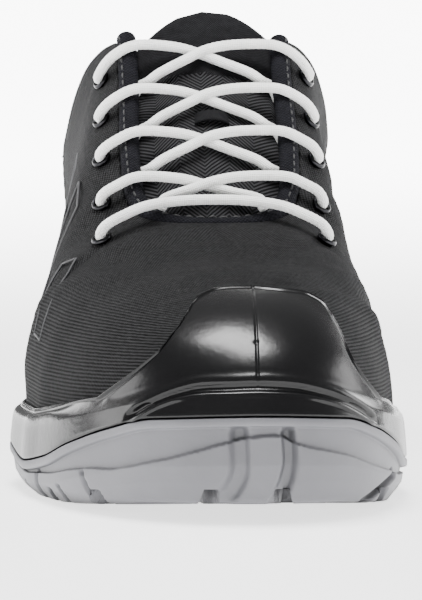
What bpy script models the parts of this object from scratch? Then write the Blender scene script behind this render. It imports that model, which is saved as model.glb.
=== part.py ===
"""Safety sneaker, right shoe: moulded sole with toe guard, woven upper and a laced throat.

The toe points to -Y, the heel to +Y, +X is the medial side and the floor is at Z = 0.
The sole's outline, its levels and the upper's form are read from short tables, a row for
each section. Places along the shoe are shares of its length, 0 at the heel and 1 at the toe.
"""
import math

import bmesh
import bpy
import numpy as np
from mathutils import Matrix, Vector

# Driving sizes in metres
LENGTH = 0.302
BALL_WIDTH = 0.110
HEEL_WIDTH = 0.076
TOE_HEIGHT = 0.0590
VAMP_HEIGHT = 0.0745
INSTEP_HEIGHT = 0.1215
ANKLE_HEIGHT = 0.087
HEEL_HEIGHT = 0.098
COLLAR_WIDTH = 0.080
COLLAR_DEPTH = 0.0151
THROAT_WIDTH = 0.051
UPPER_WALL = 0.0022
TOE_SPRING = 0.006
ARCH_RISE = 0.0045
HEEL_BEVEL = 0.0025
OUTSOLE_HEIGHT = 0.0098
BUMPER_HEIGHT = 0.0300
RAND_HEIGHT = 0.0222
HEEL_RAND_HEIGHT = 0.0365
FOOTBED_HEIGHT = 0.0136
HEEL_FOOTBED_HEIGHT = 0.024
TREAD_THICKNESS = 0.0072
OUTSOLE_WALL = 0.0022
OUTSOLE_LIP = 0.0009
OUTSOLE_TAPER = 0.0044
LIP_BAND = 0.0026
RAND_INSET = 0.0016
LATERAL_INSET = 0.0045
MEDIAL_INSET = 0.0038
TOE_INSET = 0.0048
GUARD_THICKNESS = 0.0028
EDGE_THICKNESS = 0.0008
EDGE_HEIGHT = 0.0016
INSOLE_THICKNESS = 0.0040
TONGUE_THICKNESS = 0.0045
TONGUE_WIDTH = 0.050
TONGUE_HEIGHT = 0.131
TONGUE_CROWN = 0.0075
BINDING_DIAMETER = 0.0058
BINDING_NARROW = 0.6
EYELET_BORE = 0.0037
EYELET_BARREL = 0.0050
EYELET_FLANGE = 0.0066
EYELET_LIP = 0.0007
EYELET_COUNT = 5
EYELET_PITCH = 0.0168
EYELET_ROW_TOP = 0.0596
EYELET_ROW_BOTTOM = 0.0640
FIRST_EYELET = 0.1373
LACE_DIAMETER = 0.0028
GROOVE_DEPTH = 0.0042

# Clearances in metres: between flat seats, between curved walls, and round an eyelet
SEAT_GAP = 0.0003
WALL_GAP = 0.0006
EYELET_GAP = 0.0003

# Share of the length where the throat's lower end stands over the sole
THROAT_BASE = 0.70
STAY_BASE = 0.44
THROAT_CORNER = (0.652, 0.672, 0.689)

HALF_BALL = BALL_WIDTH / 2
HALF_HEEL = HEEL_WIDTH / 2
HALF_THROAT = THROAT_WIDTH / 2
HALF_COLLAR = COLLAR_WIDTH / 2

# Sole outline: place, centre line across, half width
OUTLINE = (
    (0.00, 0.000 * HALF_BALL, 0.00 * HALF_HEEL),
    (0.05, -0.005 * HALF_BALL, 0.74 * HALF_HEEL),
    (0.10, -0.015 * HALF_BALL, 0.91 * HALF_HEEL),
    (0.17, -0.025 * HALF_BALL, 0.99 * HALF_HEEL),
    (0.25, -0.055 * HALF_BALL, 1.00 * HALF_HEEL),
    (0.35, -0.110 * HALF_BALL, 0.96 * HALF_HEEL),
    (0.45, -0.150 * HALF_BALL, 0.98 * HALF_HEEL),
    (0.52, -0.150 * HALF_BALL, 0.72 * HALF_BALL),
    (0.60, -0.125 * HALF_BALL, 0.83 * HALF_BALL),
    (0.69, -0.076 * HALF_BALL, 0.985 * HALF_BALL),
    (0.76, -0.022 * HALF_BALL, 0.988 * HALF_BALL),
    (0.81, 0.004 * HALF_BALL, 0.940 * HALF_BALL),
    (0.86, 0.030 * HALF_BALL, 0.872 * HALF_BALL),
    (0.91, 0.060 * HALF_BALL, 0.755 * HALF_BALL),
    (0.95, 0.088 * HALF_BALL, 0.605 * HALF_BALL),
    (0.98, 0.115 * HALF_BALL, 0.400 * HALF_BALL),
    (1.00, 0.140 * HALF_BALL, 0.00 * HALF_BALL),
)

# Sole levels: place, ground, top of the outsole's side, top of the rand, footbed
LEVELS = (
    (0.00, 1.0 * HEEL_BEVEL, 2.15 * OUTSOLE_HEIGHT, 1.01 * HEEL_RAND_HEIGHT, 1.0 * HEEL_FOOTBED_HEIGHT),
    (0.035, 0.0 * HEEL_BEVEL, 1.95 * OUTSOLE_HEIGHT, 1.0 * HEEL_RAND_HEIGHT, 1.0 * HEEL_FOOTBED_HEIGHT),
    (0.12, 0.0 * HEEL_BEVEL, 1.75 * OUTSOLE_HEIGHT, 0.97 * HEEL_RAND_HEIGHT, 0.98 * HEEL_FOOTBED_HEIGHT),
    (0.28, 0.0 * ARCH_RISE, 1.60 * OUTSOLE_HEIGHT, 0.91 * HEEL_RAND_HEIGHT, 0.92 * HEEL_FOOTBED_HEIGHT),
    (0.36, 0.8 * ARCH_RISE, 1.55 * OUTSOLE_HEIGHT, 0.85 * HEEL_RAND_HEIGHT, 0.85 * HEEL_FOOTBED_HEIGHT),
    (0.46, 1.0 * ARCH_RISE, 1.50 * OUTSOLE_HEIGHT, 0.77 * HEEL_RAND_HEIGHT, 0.75 * HEEL_FOOTBED_HEIGHT),
    (0.55, 0.4 * ARCH_RISE, 1.48 * OUTSOLE_HEIGHT, 1.13 * RAND_HEIGHT, 1.15 * FOOTBED_HEIGHT),
    (0.60, 0.0 * ARCH_RISE, 1.42 * OUTSOLE_HEIGHT, 1.05 * RAND_HEIGHT, 1.06 * FOOTBED_HEIGHT),
    (0.68, 0.0 * ARCH_RISE, 1.25 * OUTSOLE_HEIGHT, 1.0 * RAND_HEIGHT, 1.0 * FOOTBED_HEIGHT),
    (0.75, 0.0 * TOE_SPRING, 1.0 * OUTSOLE_HEIGHT, 1.02 * RAND_HEIGHT, 1.0 * FOOTBED_HEIGHT),
    (0.82, 0.05 * TOE_SPRING, 0.43 * BUMPER_HEIGHT, 1.16 * RAND_HEIGHT, 1.03 * FOOTBED_HEIGHT),
    (0.88, 0.32 * TOE_SPRING, 0.63 * BUMPER_HEIGHT, 1.32 * RAND_HEIGHT, 1.10 * FOOTBED_HEIGHT),
    (0.93, 0.62 * TOE_SPRING, 0.81 * BUMPER_HEIGHT, 1.45 * RAND_HEIGHT, 1.18 * FOOTBED_HEIGHT),
    (0.97, 0.88 * TOE_SPRING, 0.95 * BUMPER_HEIGHT, 1.60 * RAND_HEIGHT, 1.25 * FOOTBED_HEIGHT),
    (1.00, 1.0 * TOE_SPRING, 1.0 * BUMPER_HEIGHT, 1.68 * RAND_HEIGHT, 1.28 * FOOTBED_HEIGHT),
)

# Upper's open edge, by the place of each rib on the sole: place of its top end, how far the
# centre line there lies across, half width of the opening, height. The collar's half width
# and the throat's run to nothing at the heel and at the throat's lower end.
OPEN_EDGE = (
    (0.00, 1.0 * COLLAR_DEPTH / LENGTH, 0.00 * HALF_BALL, 0.00 * HALF_COLLAR, 1.0 * HEEL_HEIGHT),
    (0.03, 1.25 * COLLAR_DEPTH / LENGTH, 0.00 * HALF_BALL, 0.43 * HALF_COLLAR, 0.995 * HEEL_HEIGHT),
    (0.08, 1.90 * COLLAR_DEPTH / LENGTH, 0.00 * HALF_BALL, 0.69 * HALF_COLLAR, 0.975 * HEEL_HEIGHT),
    (0.15, 0.155, -0.01 * HALF_BALL, 0.87 * HALF_COLLAR, 0.925 * HEEL_HEIGHT),
    (0.22, 0.215, -0.01 * HALF_BALL, 0.965 * HALF_COLLAR, 1.0 * ANKLE_HEIGHT),
    (0.29, 0.275, 0.00 * HALF_BALL, 1.0 * HALF_COLLAR, 1.02 * ANKLE_HEIGHT),
    (0.345, 0.335, 0.00 * HALF_BALL, 0.955 * HALF_COLLAR, 0.825 * INSTEP_HEIGHT),
    (0.385, 0.375, 0.00 * HALF_BALL, 0.85 * HALF_COLLAR, 0.93 * INSTEP_HEIGHT),
    (0.415, 0.405, 0.00 * HALF_BALL, 0.715 * HALF_COLLAR, 0.985 * INSTEP_HEIGHT),
    (STAY_BASE, 0.425, 0.00 * HALF_BALL, 1.00 * HALF_THROAT, 1.0 * INSTEP_HEIGHT),
    (0.47, 0.455, 0.00 * HALF_BALL, 1.00 * HALF_THROAT, 0.955 * INSTEP_HEIGHT),
    (0.52, 0.505, 0.00 * HALF_BALL, 1.01 * HALF_THROAT, 0.868 * INSTEP_HEIGHT),
    (0.57, 0.556, 0.00 * HALF_BALL, 1.03 * HALF_THROAT, 0.782 * INSTEP_HEIGHT),
    (0.615, 0.606, 0.00 * HALF_BALL, 1.02 * HALF_THROAT, 0.700 * INSTEP_HEIGHT),
    (0.645, 0.640, 0.00 * HALF_BALL, 0.93 * HALF_THROAT, 1.045 * VAMP_HEIGHT),
    (0.670, 0.662, 0.00 * HALF_BALL, 0.72 * HALF_THROAT, 1.01 * VAMP_HEIGHT),
    (0.688, 0.670, 0.00 * HALF_BALL, 0.37 * HALF_THROAT, 1.0 * VAMP_HEIGHT),
    (THROAT_BASE, 0.672, 0.00 * HALF_BALL, 0.00 * HALF_THROAT, 1.0 * VAMP_HEIGHT),
)

# Ridge of the vamp, by the place of each rib on the sole: place of its top end, how far the
# ridge lies across, height
RIDGE = (
    (THROAT_BASE, 0.672, 0.00 * HALF_BALL, 1.0 * VAMP_HEIGHT),
    (0.75, 0.712, 0.02 * HALF_BALL, 0.945 * VAMP_HEIGHT),
    (0.80, 0.749, 0.06 * HALF_BALL, 0.895 * VAMP_HEIGHT),
    (0.85, 0.785, 0.09 * HALF_BALL, 1.095 * TOE_HEIGHT),
    (0.90, 0.815, 0.12 * HALF_BALL, 1.045 * TOE_HEIGHT),
    (0.95, 0.837, 0.14 * HALF_BALL, 1.010 * TOE_HEIGHT),
    (1.00, 0.845, 0.15 * HALF_BALL, 1.0 * TOE_HEIGHT),
)

# Ribs of the upper, each an arc of a superellipse: place, exponent on the lateral and on the
# medial side, degrees of the arc, how far the rib swells on the lateral and the medial side
RIBS = (
    (0.00, 2.0, 2.0, 42, 0.060 * HALF_BALL, 0.060 * HALF_BALL),
    (0.12, 2.0, 2.0, 40, 0.050 * HALF_BALL, 0.050 * HALF_BALL),
    (0.25, 2.0, 2.0, 36, 0.025 * HALF_BALL, 0.025 * HALF_BALL),
    (0.36, 2.2, 2.2, 48, 0.025 * HALF_BALL, 0.080 * HALF_BALL),
    (0.44, 2.4, 2.4, 60, 0.030 * HALF_BALL, 0.160 * HALF_BALL),
    (0.55, 2.6, 2.7, 64, 0.040 * HALF_BALL, 0.160 * HALF_BALL),
    (0.645, 2.6, 3.1, 70, 0.035 * HALF_BALL, 0.075 * HALF_BALL),
    (THROAT_BASE, 2.6, 3.1, 90, 0.025 * HALF_BALL, 0.015 * HALF_BALL),
    (0.80, 2.5, 2.7, 90, 0.010 * HALF_BALL, 0.000 * HALF_BALL),
    (0.90, 2.6, 2.6, 86, 0.000 * HALF_BALL, 0.000 * HALF_BALL),
    (1.00, 2.9, 2.9, 72, 0.000 * HALF_BALL, 0.000 * HALF_BALL),
)

# Edge of the toe guard: place on the rand below, and for each side the place of the rib
# that the edge has reached there and the share of that rib below the edge
GUARD_EDGE = (
    (0.800, 0.800, 0.085, 0.800, 0.085),
    (0.840, 0.843, 0.098, 0.842, 0.100),
    (0.870, 0.882, 0.113, 0.878, 0.115),
    (0.890, 0.908, 0.138, 0.905, 0.145),
    (0.910, 0.930, 0.179, 0.925, 0.190),
    (0.928, 0.947, 0.240, 0.937, 0.260),
    (0.942, 0.957, 0.320, 0.941, 0.360),
    (0.954, 0.963, 0.440, 0.937, 0.460),
    (0.964, 0.964, 0.560, 0.926, 0.570),
    (0.975, 0.957, 0.680, 0.911, 0.670),
    (0.984, 0.943, 0.780, 0.912, 0.735),
    (0.991, 0.940, 0.860, 0.924, 0.800),
    (0.996, 0.958, 0.915, 0.952, 0.880),
    (1.000, 1.000, 0.965, 1.000, 0.965),
)

# Tongue: place along the shoe, its top's height at the centre, half width, lean to medial
TONGUE = (
    (0.700, 0.895 * VAMP_HEIGHT, 0.60 * TONGUE_WIDTH / 2, 0.0 * TONGUE_WIDTH / 2),
    (0.672, 0.925 * VAMP_HEIGHT, 0.72 * TONGUE_WIDTH / 2, 0.0 * TONGUE_WIDTH / 2),
    (0.645, 0.975 * VAMP_HEIGHT, 0.84 * TONGUE_WIDTH / 2, 0.01 * TONGUE_WIDTH / 2),
    (0.606, 0.680 * INSTEP_HEIGHT, 0.95 * TONGUE_WIDTH / 2, 0.02 * TONGUE_WIDTH / 2),
    (0.556, 0.780 * INSTEP_HEIGHT, 1.00 * TONGUE_WIDTH / 2, 0.03 * TONGUE_WIDTH / 2),
    (0.505, 0.868 * INSTEP_HEIGHT, 0.95 * TONGUE_WIDTH / 2, 0.03 * TONGUE_WIDTH / 2),
    (0.455, 0.955 * INSTEP_HEIGHT, 0.88 * TONGUE_WIDTH / 2, 0.02 * TONGUE_WIDTH / 2),
    (0.403, 1.000 * TONGUE_HEIGHT, 0.83 * TONGUE_WIDTH / 2, 0.0 * TONGUE_WIDTH / 2),
)

# Grooves across the tread: place, distance from the outline's centre line to the groove's
# middle, length, width, degrees turned about Z
GROOVES = (
    (0.10, 0.0 * HALF_HEEL, 2.3 * HALF_HEEL, 0.0050, 0),
    (0.19, 0.0 * HALF_HEEL, 2.3 * HALF_HEEL, 0.0050, 0),
    (0.61, 0.0 * HALF_BALL, 2.3 * HALF_BALL, 0.0050, 0),
    (0.68, 0.0 * HALF_BALL, 2.3 * HALF_BALL, 0.0050, 0),
    (0.75, 0.0 * HALF_BALL, 2.3 * HALF_BALL, 0.0030, 0),
    (0.82, 0.0 * HALF_BALL, 2.3 * HALF_BALL, 0.0030, 0),
    (0.89, 0.0 * HALF_BALL, 2.3 * HALF_BALL, 0.0055, 4),
    (0.95, -0.213 * HALF_BALL, 0.50 * HALF_BALL, 0.0045, 103),
    (0.95, 0.202 * HALF_BALL, 0.50 * HALF_BALL, 0.0045, 81),
)

# A crossing's strand, from the throat's lower edge to the eyelet on the far side: share of
# the eyelet row's distance from the centre, distance up the throat from that eyelet, height
# over the line through the eyelets, and the share of the binding's height added to it
STRAND = (
    (-0.56, -0.0079, 0.0000, 1.0),
    (-0.43, -0.0048, 0.0012, 1.0),
    (-0.18, -0.0008, 0.0030, 1.0),
    (0.02, 0.0026, 0.0040, 1.0),
    (0.26, 0.0044, 0.0044, 1.0),
    (0.56, 0.0040, 0.0050, 1.0),
    (0.72, 0.0028, 0.0052, 1.0),
    (0.86, 0.0010, 0.0040, 1.0),
    (0.97, -0.0004, 0.0038, 0.5),
    (1.03, -0.0010, 0.0036, 0.0),
)
UNDERPASS = 0.0018
START_ROOM = 0.0085

# Half of the bar over the lowest eyelets, from the middle to one eyelet, in the same columns
BAR = (
    (0.00, 0.0112, 0.0062, 0.0),
    (0.30, 0.0104, 0.0064, 0.0),
    (0.60, 0.0072, 0.0070, 0.0),
    (0.82, 0.0030, 0.0066, 0.0),
    (0.96, 0.0006, 0.0052, 0.0),
    (1.03, -0.0006, 0.0035, 0.0),
)

# How finely the pieces are divided
HALF_COLUMNS = 36
TOE_CROWDING = 0.4
RIB_STEPS = 8
GUARD_STEPS = 7
GUARD_SWEEP = 3
EYELET_SIDES = 12
TONGUE_ROWS = 14
TONGUE_COLUMNS = 10
BEVEL_RESOLUTION = 2
COLLECTION = "safety_sneaker"


def turn_of(place):
    """Angle round the sole for a place along it, even near the rounded ends."""
    return math.acos(1 - 2 * min(max(place, 0.0), 1.0))


def place_of(around):
    """Place along the shoe, and the side, of an angle round it from the heel."""
    around = around % (2 * math.pi)
    place = (1 - math.cos(around)) / 2
    side = -1 if around <= math.pi else 1
    return place, side


def read(table, place, crossing=()):
    """A table's columns at any place, on smooth curves through its rows.

    The curves are level at both ends, apart from the columns in crossing.
    """
    rows = table if table[0][0] < table[-1][0] else table[::-1]
    knots = [turn_of(row[0]) for row in rows]
    at = turn_of(place)
    last = len(rows) - 2
    left = sum(1 for knot in knots[1:-1] if knot <= at)
    left = min(left, last)
    values = []
    for column in range(1, len(rows[0])):
        slopes = [
            (rows[k + 1][column] - rows[k][column]) / (knots[k + 1] - knots[k])
            for k in range(last + 1)
        ]
        ends = []
        for k in (left, left + 1):
            if k == 0:
                ends.append(slopes[0] if column in crossing else 0.0)
            elif k == last + 1:
                ends.append(slopes[-1] if column in crossing else 0.0)
            elif slopes[k - 1] * slopes[k] <= 0:
                ends.append(0.0)
            else:
                ends.append(2 * slopes[k - 1] * slopes[k] / (slopes[k - 1] + slopes[k]))
        span = knots[left + 1] - knots[left]
        t = min(max((at - knots[left]) / span, 0.0), 1.0)
        low = rows[left][column]
        high = rows[left + 1][column]
        values.append(
            (1 + 2 * t) * (1 - t) ** 2 * low
            + t * (1 - t) ** 2 * span * ends[0]
            + t * t * (3 - 2 * t) * high
            - t * t * (1 - t) * span * ends[1]
        )
    return values


def ease(low, high, value):
    """Smooth step from 0 at low to 1 at high."""
    t = min(max((value - low) / (high - low), 0.0), 1.0)
    return t * t * (3 - 2 * t)


def outline(around):
    """Point of the sole's outline in plan."""
    place, side = place_of(around)
    centre, half = read(OUTLINE, place, crossing=(2,))
    return np.array((centre + side * half - MIDDLE, LENGTH * (0.5 - place)))


def outward(around):
    """Unit normal of the outline in plan, away from the shoe."""
    step = 0.01
    run = outline(around + step) - outline(around - step)
    normal = np.array((run[1], -run[0]))
    return normal / np.linalg.norm(normal)


def sole_point(around, inset, height):
    """Point of the sole's side, inset from the outline."""
    flat = outline(around) - outward(around) * inset
    return np.array((flat[0], flat[1], height))


def middle_of_outline():
    """How far the outline's widest points lie off the middle."""
    edges = []
    for step in range(101):
        centre, half = read(OUTLINE, step / 100, crossing=(2,))
        edges += [centre - half, centre + half]
    return (min(edges) + max(edges)) / 2


MIDDLE = middle_of_outline()


def feather(around):
    """Lower end of the rib at this angle, on the footbed inside the rand."""
    place, side = place_of(around)
    side_inset = LATERAL_INSET if side < 0 else MEDIAL_INSET
    share = ease(0.04, 0.25, place) * (1 - ease(0.77, 0.85, place))
    inset = TOE_INSET + (side_inset - TOE_INSET) * share
    footbed = read(LEVELS, place)[3]
    return sole_point(around, inset, footbed + SEAT_GAP)


def rib_top(around):
    """Upper end of the rib: on the throat or collar, or on the ridge of the vamp."""
    place, side = place_of(around)
    if place < THROAT_BASE:
        top, centre, half, height = read(OPEN_EDGE, place, crossing=(3,))
    else:
        top, centre, height = read(RIDGE, place)
        half = 0.0
    return np.array((centre + side * half - MIDDLE, LENGTH * (0.5 - top), height))


def rib_point(around, share):
    """Point of the upper's outer face at a share of its rib."""
    place, side = place_of(around)
    outer, inner, arc, lateral, medial = read(RIBS, place)
    exponent = outer if side < 0 else inner
    low = feather(around)
    high = rib_top(around)
    end = math.radians(arc)
    angle = end * min(max(share, 0.0), 1.0)
    power = 2 / exponent
    level = (math.sin(angle) / math.sin(end)) ** power
    run_end = 1 - max(math.cos(end), 0.0) ** power
    run = (1 - max(math.cos(angle), 0.0) ** power) / run_end
    rand = (read(LEVELS, place)[2] - low[2]) / (high[2] - low[2])
    fullness = (1 - abs(2 * level ** 1.5 - 1) ** 4) * ease(rand, rand + 0.22, level)
    swell = (lateral if side < 0 else medial) * fullness
    out = outward(around)
    point = np.array((
        low[0] + (high[0] - low[0]) * run + out[0] * swell,
        low[1] + (high[1] - low[1]) * run + out[1] * swell,
        low[2] + (high[2] - low[2]) * level,
    ))
    return point


def rib_normal(around, share):
    """Outward normal of the upper at a share of its rib."""
    step = 0.02
    here = min(max(share, step), 1 - step)
    along = rib_point(around + step, here) - rib_point(around - step, here)
    up = rib_point(around, here + step) - rib_point(around, here - step)
    normal = np.cross(along, up)
    return normal / np.linalg.norm(normal)


def upper_point(around, share, lift):
    """Point at a distance outside the upper's outer face."""
    return rib_point(around, share) + rib_normal(around, share) * lift


def share_at(around, height):
    """Share of the rib that lies below a height."""
    place, side = place_of(around)
    outer, inner, arc, _, _ = read(RIBS, place)
    exponent = outer if side < 0 else inner
    low = feather(around)[2]
    high = rib_top(around)[2]
    level = min(max((height - low) / (high - low), 0.0), 1.0)
    sine = level ** (exponent / 2) * math.sin(math.radians(arc))
    return math.degrees(math.asin(min(sine, 1.0))) / arc


def columns():
    """Angles of the ribs round the shoe, the heel first, closer together at the toe.

    One rib on each side stands exactly at the stay's top and one at the throat's lower end,
    and the ribs between follow the throat's rounded corner.
    """
    even = [math.pi * k / HALF_COLUMNS for k in range(HALF_COLUMNS + 1)]
    angles = [angle + TOE_CROWDING * math.sin(angle) for angle in even]
    for corner in (turn_of(STAY_BASE), turn_of(THROAT_BASE)):
        nearest = min(range(len(angles)), key=lambda k: abs(angles[k] - corner))
        angles[nearest] = corner
    first = turn_of(THROAT_CORNER[0])
    last = turn_of(THROAT_BASE)
    angles = [angle for angle in angles if not first - 0.02 < angle < last]
    angles += [turn_of(place) for place in THROAT_CORNER]
    angles.sort()
    return angles + [2 * math.pi - angle for angle in angles[-2:0:-1]]


def material(name, colour, roughness, metallic=0.0):
    made = bpy.data.materials.new(name)
    made.use_nodes = True
    shader = made.node_tree.nodes["Principled BSDF"]
    shader.inputs["Base Color"].default_value = (*colour, 1.0)
    shader.inputs["Roughness"].default_value = roughness
    shader.inputs["Metallic"].default_value = metallic
    return made


def add_object(name, mesh, collection, finish=None):
    mesh.name = name
    made = bpy.data.objects.new(name, mesh)
    collection.objects.link(made)
    if finish:
        mesh.materials.clear()
        mesh.materials.append(finish)
    return made


def smooth(mesh, degrees=35):
    mesh.shade_smooth()
    mesh.set_sharp_from_angle(angle=math.radians(degrees))


def loft(name, rings, collection, finish):
    """Closed solid through rings of equal count, the first and last closed by strips.

    Each ring starts at the heel, so its strips join points that face across the shoe.
    """
    body = bmesh.new()
    made = [[body.verts.new(Vector(point)) for point in ring] for ring in rings]
    count = len(rings[0])
    for low, high in zip(made, made[1:]):
        for k in range(count):
            after = (k + 1) % count
            body.faces.new((low[k], low[after], high[after], high[k]))
    for ring in (made[0], made[-1]):
        for k in range(count // 2):
            corners = (ring[k], ring[k + 1], ring[(count - k - 1) % count], ring[(count - k) % count])
            face = []
            for corner in corners:
                if corner not in face:
                    face.append(corner)
            body.faces.new(face)
    bmesh.ops.remove_doubles(body, verts=body.verts, dist=0.00001)
    bmesh.ops.triangulate(body, faces=[face for face in body.faces if len(face.verts) > 3])
    bmesh.ops.recalc_face_normals(body, faces=body.faces)
    mesh = bpy.data.meshes.new(name)
    body.to_mesh(mesh)
    body.free()
    smooth(mesh)
    return add_object(name, mesh, collection, finish)


def outsole_floor(around):
    """Height of the outsole's inner floor, under the midsole."""
    ground, side_top, _, footbed = read(LEVELS, place_of(around)[0])
    return min(ground + TREAD_THICKNESS, footbed - OUTSOLE_WALL, side_top - SEAT_GAP)


def outsole_rings():
    """Rings of the grey outsole, from under it round its side to its inner floor."""
    rings = [[] for _ in range(10)]
    for around in columns():
        ground, side_top, _, _ = read(LEVELS, place_of(around)[0])
        band = side_top - LIP_BAND
        middle = (ground + band) / 2
        steps = (
            (1.35 * OUTSOLE_TAPER, ground),
            (1.0 * OUTSOLE_TAPER, ground + 0.05 * (band - ground)),
            (0.62 * OUTSOLE_TAPER, ground + 0.28 * (band - ground)),
            (0.33 * OUTSOLE_TAPER, middle),
            (1.0 * OUTSOLE_LIP, band),
            (0.1 * OUTSOLE_LIP, band + 0.2 * LIP_BAND),
            (0.0, side_top - 0.15 * LIP_BAND),
            (0.4 * OUTSOLE_LIP, side_top),
            (OUTSOLE_WALL, side_top),
            (1.15 * OUTSOLE_WALL, outsole_floor(around)),
        )
        for ring, (inset, height) in zip(rings, steps):
            ring.append(sole_point(around, inset, height))
    return rings


def guard_path(around, share):
    """Angle and rib share of the guard at a share of the way from the rand to its edge.

    Behind the guard the edge is one low step, with no points between its ends.
    """
    place, side = place_of(around)
    rand = read(LEVELS, place)[2]
    start = share_at(around, rand)
    lip = share_at(around, rand + EDGE_HEIGHT)
    row = read(GUARD_EDGE, max(place, GUARD_EDGE[0][0]))
    reached, below = (row[0], row[1]) if side < 0 else (row[2], row[3])
    weight = ease(0.80, 0.86, place)
    end = lip + (max(below, lip) - lip) * weight
    if weight == 0:
        return around, start if share < 0.5 else end
    goal = place + (reached - place) * weight * ease(lip, lip + 0.25, below)
    way = turn_of(goal)
    target = way if side < 0 else 2 * math.pi - way
    sweep = share if goal > place else share ** GUARD_SWEEP
    return around + (target - around) * sweep, start + (end - start) * share


def guard_lift(around, share):
    """Thickness of the guard and of the rand's edge over the upper."""
    place, _ = place_of(around)
    full = EDGE_THICKNESS + (GUARD_THICKNESS - EDGE_THICKNESS) * ease(0.80, 0.92, place)
    if place < GUARD_EDGE[0][0]:
        share = 0.0 if share < 0.5 else 1.0
    return full * (1 - 0.35 * ease(0.85, 1.0, share))


def midsole_rings():
    """Rings of the black midsole: its foot in the outsole, the rand, the guard, the inside."""
    angles = columns()
    rings = [[] for _ in range(8)]
    for around in angles:
        place, _ = place_of(around)
        _, side_top, rand, _ = read(LEVELS, place)
        toe = ease(0.86, 0.97, place)
        shoulder = RAND_INSET * (1 + 0.9 * toe)
        steps = (
            (1.15 * OUTSOLE_WALL + SEAT_GAP, outsole_floor(around) + SEAT_GAP),
            (OUTSOLE_WALL + SEAT_GAP, side_top + SEAT_GAP),
            (0.5 * OUTSOLE_LIP, side_top + SEAT_GAP),
            (0.15 * OUTSOLE_LIP, side_top + 0.12 * (rand - side_top)),
            (0.25 * RAND_INSET, side_top + 0.40 * (rand - side_top)),
            (0.45 * shoulder, side_top + 0.72 * (rand - side_top)),
            (shoulder, side_top + 0.96 * (rand - side_top)),
            (1.25 * shoulder, rand),
        )
        for ring, (inset, height) in zip(rings, steps):
            ring.append(sole_point(around, inset, height))
    for step in range(GUARD_STEPS + 1):
        share = step / GUARD_STEPS
        ring = []
        for around in angles:
            angle, part = guard_path(around, share)
            ring.append(upper_point(angle, part, WALL_GAP + guard_lift(around, share)))
        rings.append(ring)
    for step in range(GUARD_STEPS, -1, -1):
        ring = []
        for around in angles:
            angle, part = guard_path(around, step / GUARD_STEPS)
            ring.append(upper_point(angle, part, WALL_GAP))
        rings.append(ring)
    for share in (0.5, 0.0):
        ring = []
        for around in angles:
            _, part = guard_path(around, 0)
            point = upper_point(around, part * share, WALL_GAP)
            if share == 0.0:
                point[2] = read(LEVELS, place_of(around)[0])[3]
            ring.append(point)
        rings.append(ring)
    return rings


def rib_shares(around):
    """Shares of the rib where the upper has its rows, one of them at the rand's edge."""
    rand = read(LEVELS, place_of(around)[0])[2]
    first = share_at(around, rand + EDGE_HEIGHT)
    above = [first + (1 - first) * step / (RIB_STEPS - 2) for step in range(RIB_STEPS - 1)]
    return [0.0, first / 2] + above


def make_upper(collection, cutters, finish):
    """Hollow upper: one skin of ribs thickened inwards, with its eyelet holes cut."""
    body = bmesh.new()
    angles = columns()
    count = len(angles)
    ribs = []
    for around in angles:
        ribs.append([body.verts.new(Vector(rib_point(around, share))) for share in rib_shares(around)])
    grid = list(zip(*ribs))
    for low, high in zip(grid, grid[1:]):
        for k in range(count):
            after = (k + 1) % count
            body.faces.new((low[k], low[after], high[after], high[k]))
    bmesh.ops.remove_doubles(body, verts=body.verts, dist=0.00002)
    bmesh.ops.recalc_face_normals(body, faces=body.faces)
    mesh = bpy.data.meshes.new("upper")
    body.to_mesh(mesh)
    body.free()
    smooth(mesh)
    upper = add_object("upper", mesh, collection, finish)
    wall = upper.modifiers.new("wall", "SOLIDIFY")
    wall.thickness = UPPER_WALL
    wall.offset = -1
    wall.use_even_offset = True
    for cutter in eyelet_cutters(cutters):
        hole = upper.modifiers.new(cutter.name, "BOOLEAN")
        hole.object = cutter
        hole.operation = "DIFFERENCE"
        hole.solver = "EXACT"
    return upper


def throat_angles(side):
    """Angles of the ribs down one side of the throat, from its top to its lower end."""
    first = turn_of(STAY_BASE)
    last = turn_of(THROAT_BASE)
    ways = [way for way in columns() if first <= way <= last]
    return [way if side < 0 else 2 * math.pi - way for way in ways]


def eyelet_seats(side):
    """Centre and outward axis of each eyelet on one side, the top one first."""
    seats = []
    for k in range(EYELET_COUNT):
        share = k / (EYELET_COUNT - 1)
        row = EYELET_ROW_TOP + (EYELET_ROW_BOTTOM - EYELET_ROW_TOP) * share
        from_heel = FIRST_EYELET + k * EYELET_PITCH
        seats.append(seat_at(side, from_heel, row / 2))
    return seats


def seat_at(side, from_heel, half):
    """Point of the upper a distance from the heel and from the throat's middle, with its normal."""
    place = from_heel / LENGTH
    middle = rib_top(turn_of(THROAT_BASE))[0]
    goal = LENGTH * (0.5 - place)
    share = 0.8
    for _ in range(12):
        around = turn_of(place) if side < 0 else 2 * math.pi - turn_of(place)
        low, high = 0.3, 1.0
        for _ in range(24):
            share = (low + high) / 2
            reach = side * (rib_point(around, share)[0] - middle)
            if reach > half:
                low = share
            else:
                high = share
        place -= (goal - rib_point(around, share)[1]) / LENGTH
    return rib_point(around, share), rib_normal(around, share)


def facing(centre, axis):
    """Placement whose Z runs along an axis."""
    turn = Vector((0, 0, 1)).rotation_difference(Vector(axis))
    return Matrix.Translation(Vector(centre)) @ turn.to_matrix().to_4x4()


def all_seats():
    """Every eyelet's name and seat."""
    seats = []
    for side, word in ((-1, "lateral"), (1, "medial")):
        for k, seat in enumerate(eyelet_seats(side)):
            seats.append((f"{word}_{k + 1}", seat))
    return seats


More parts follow.
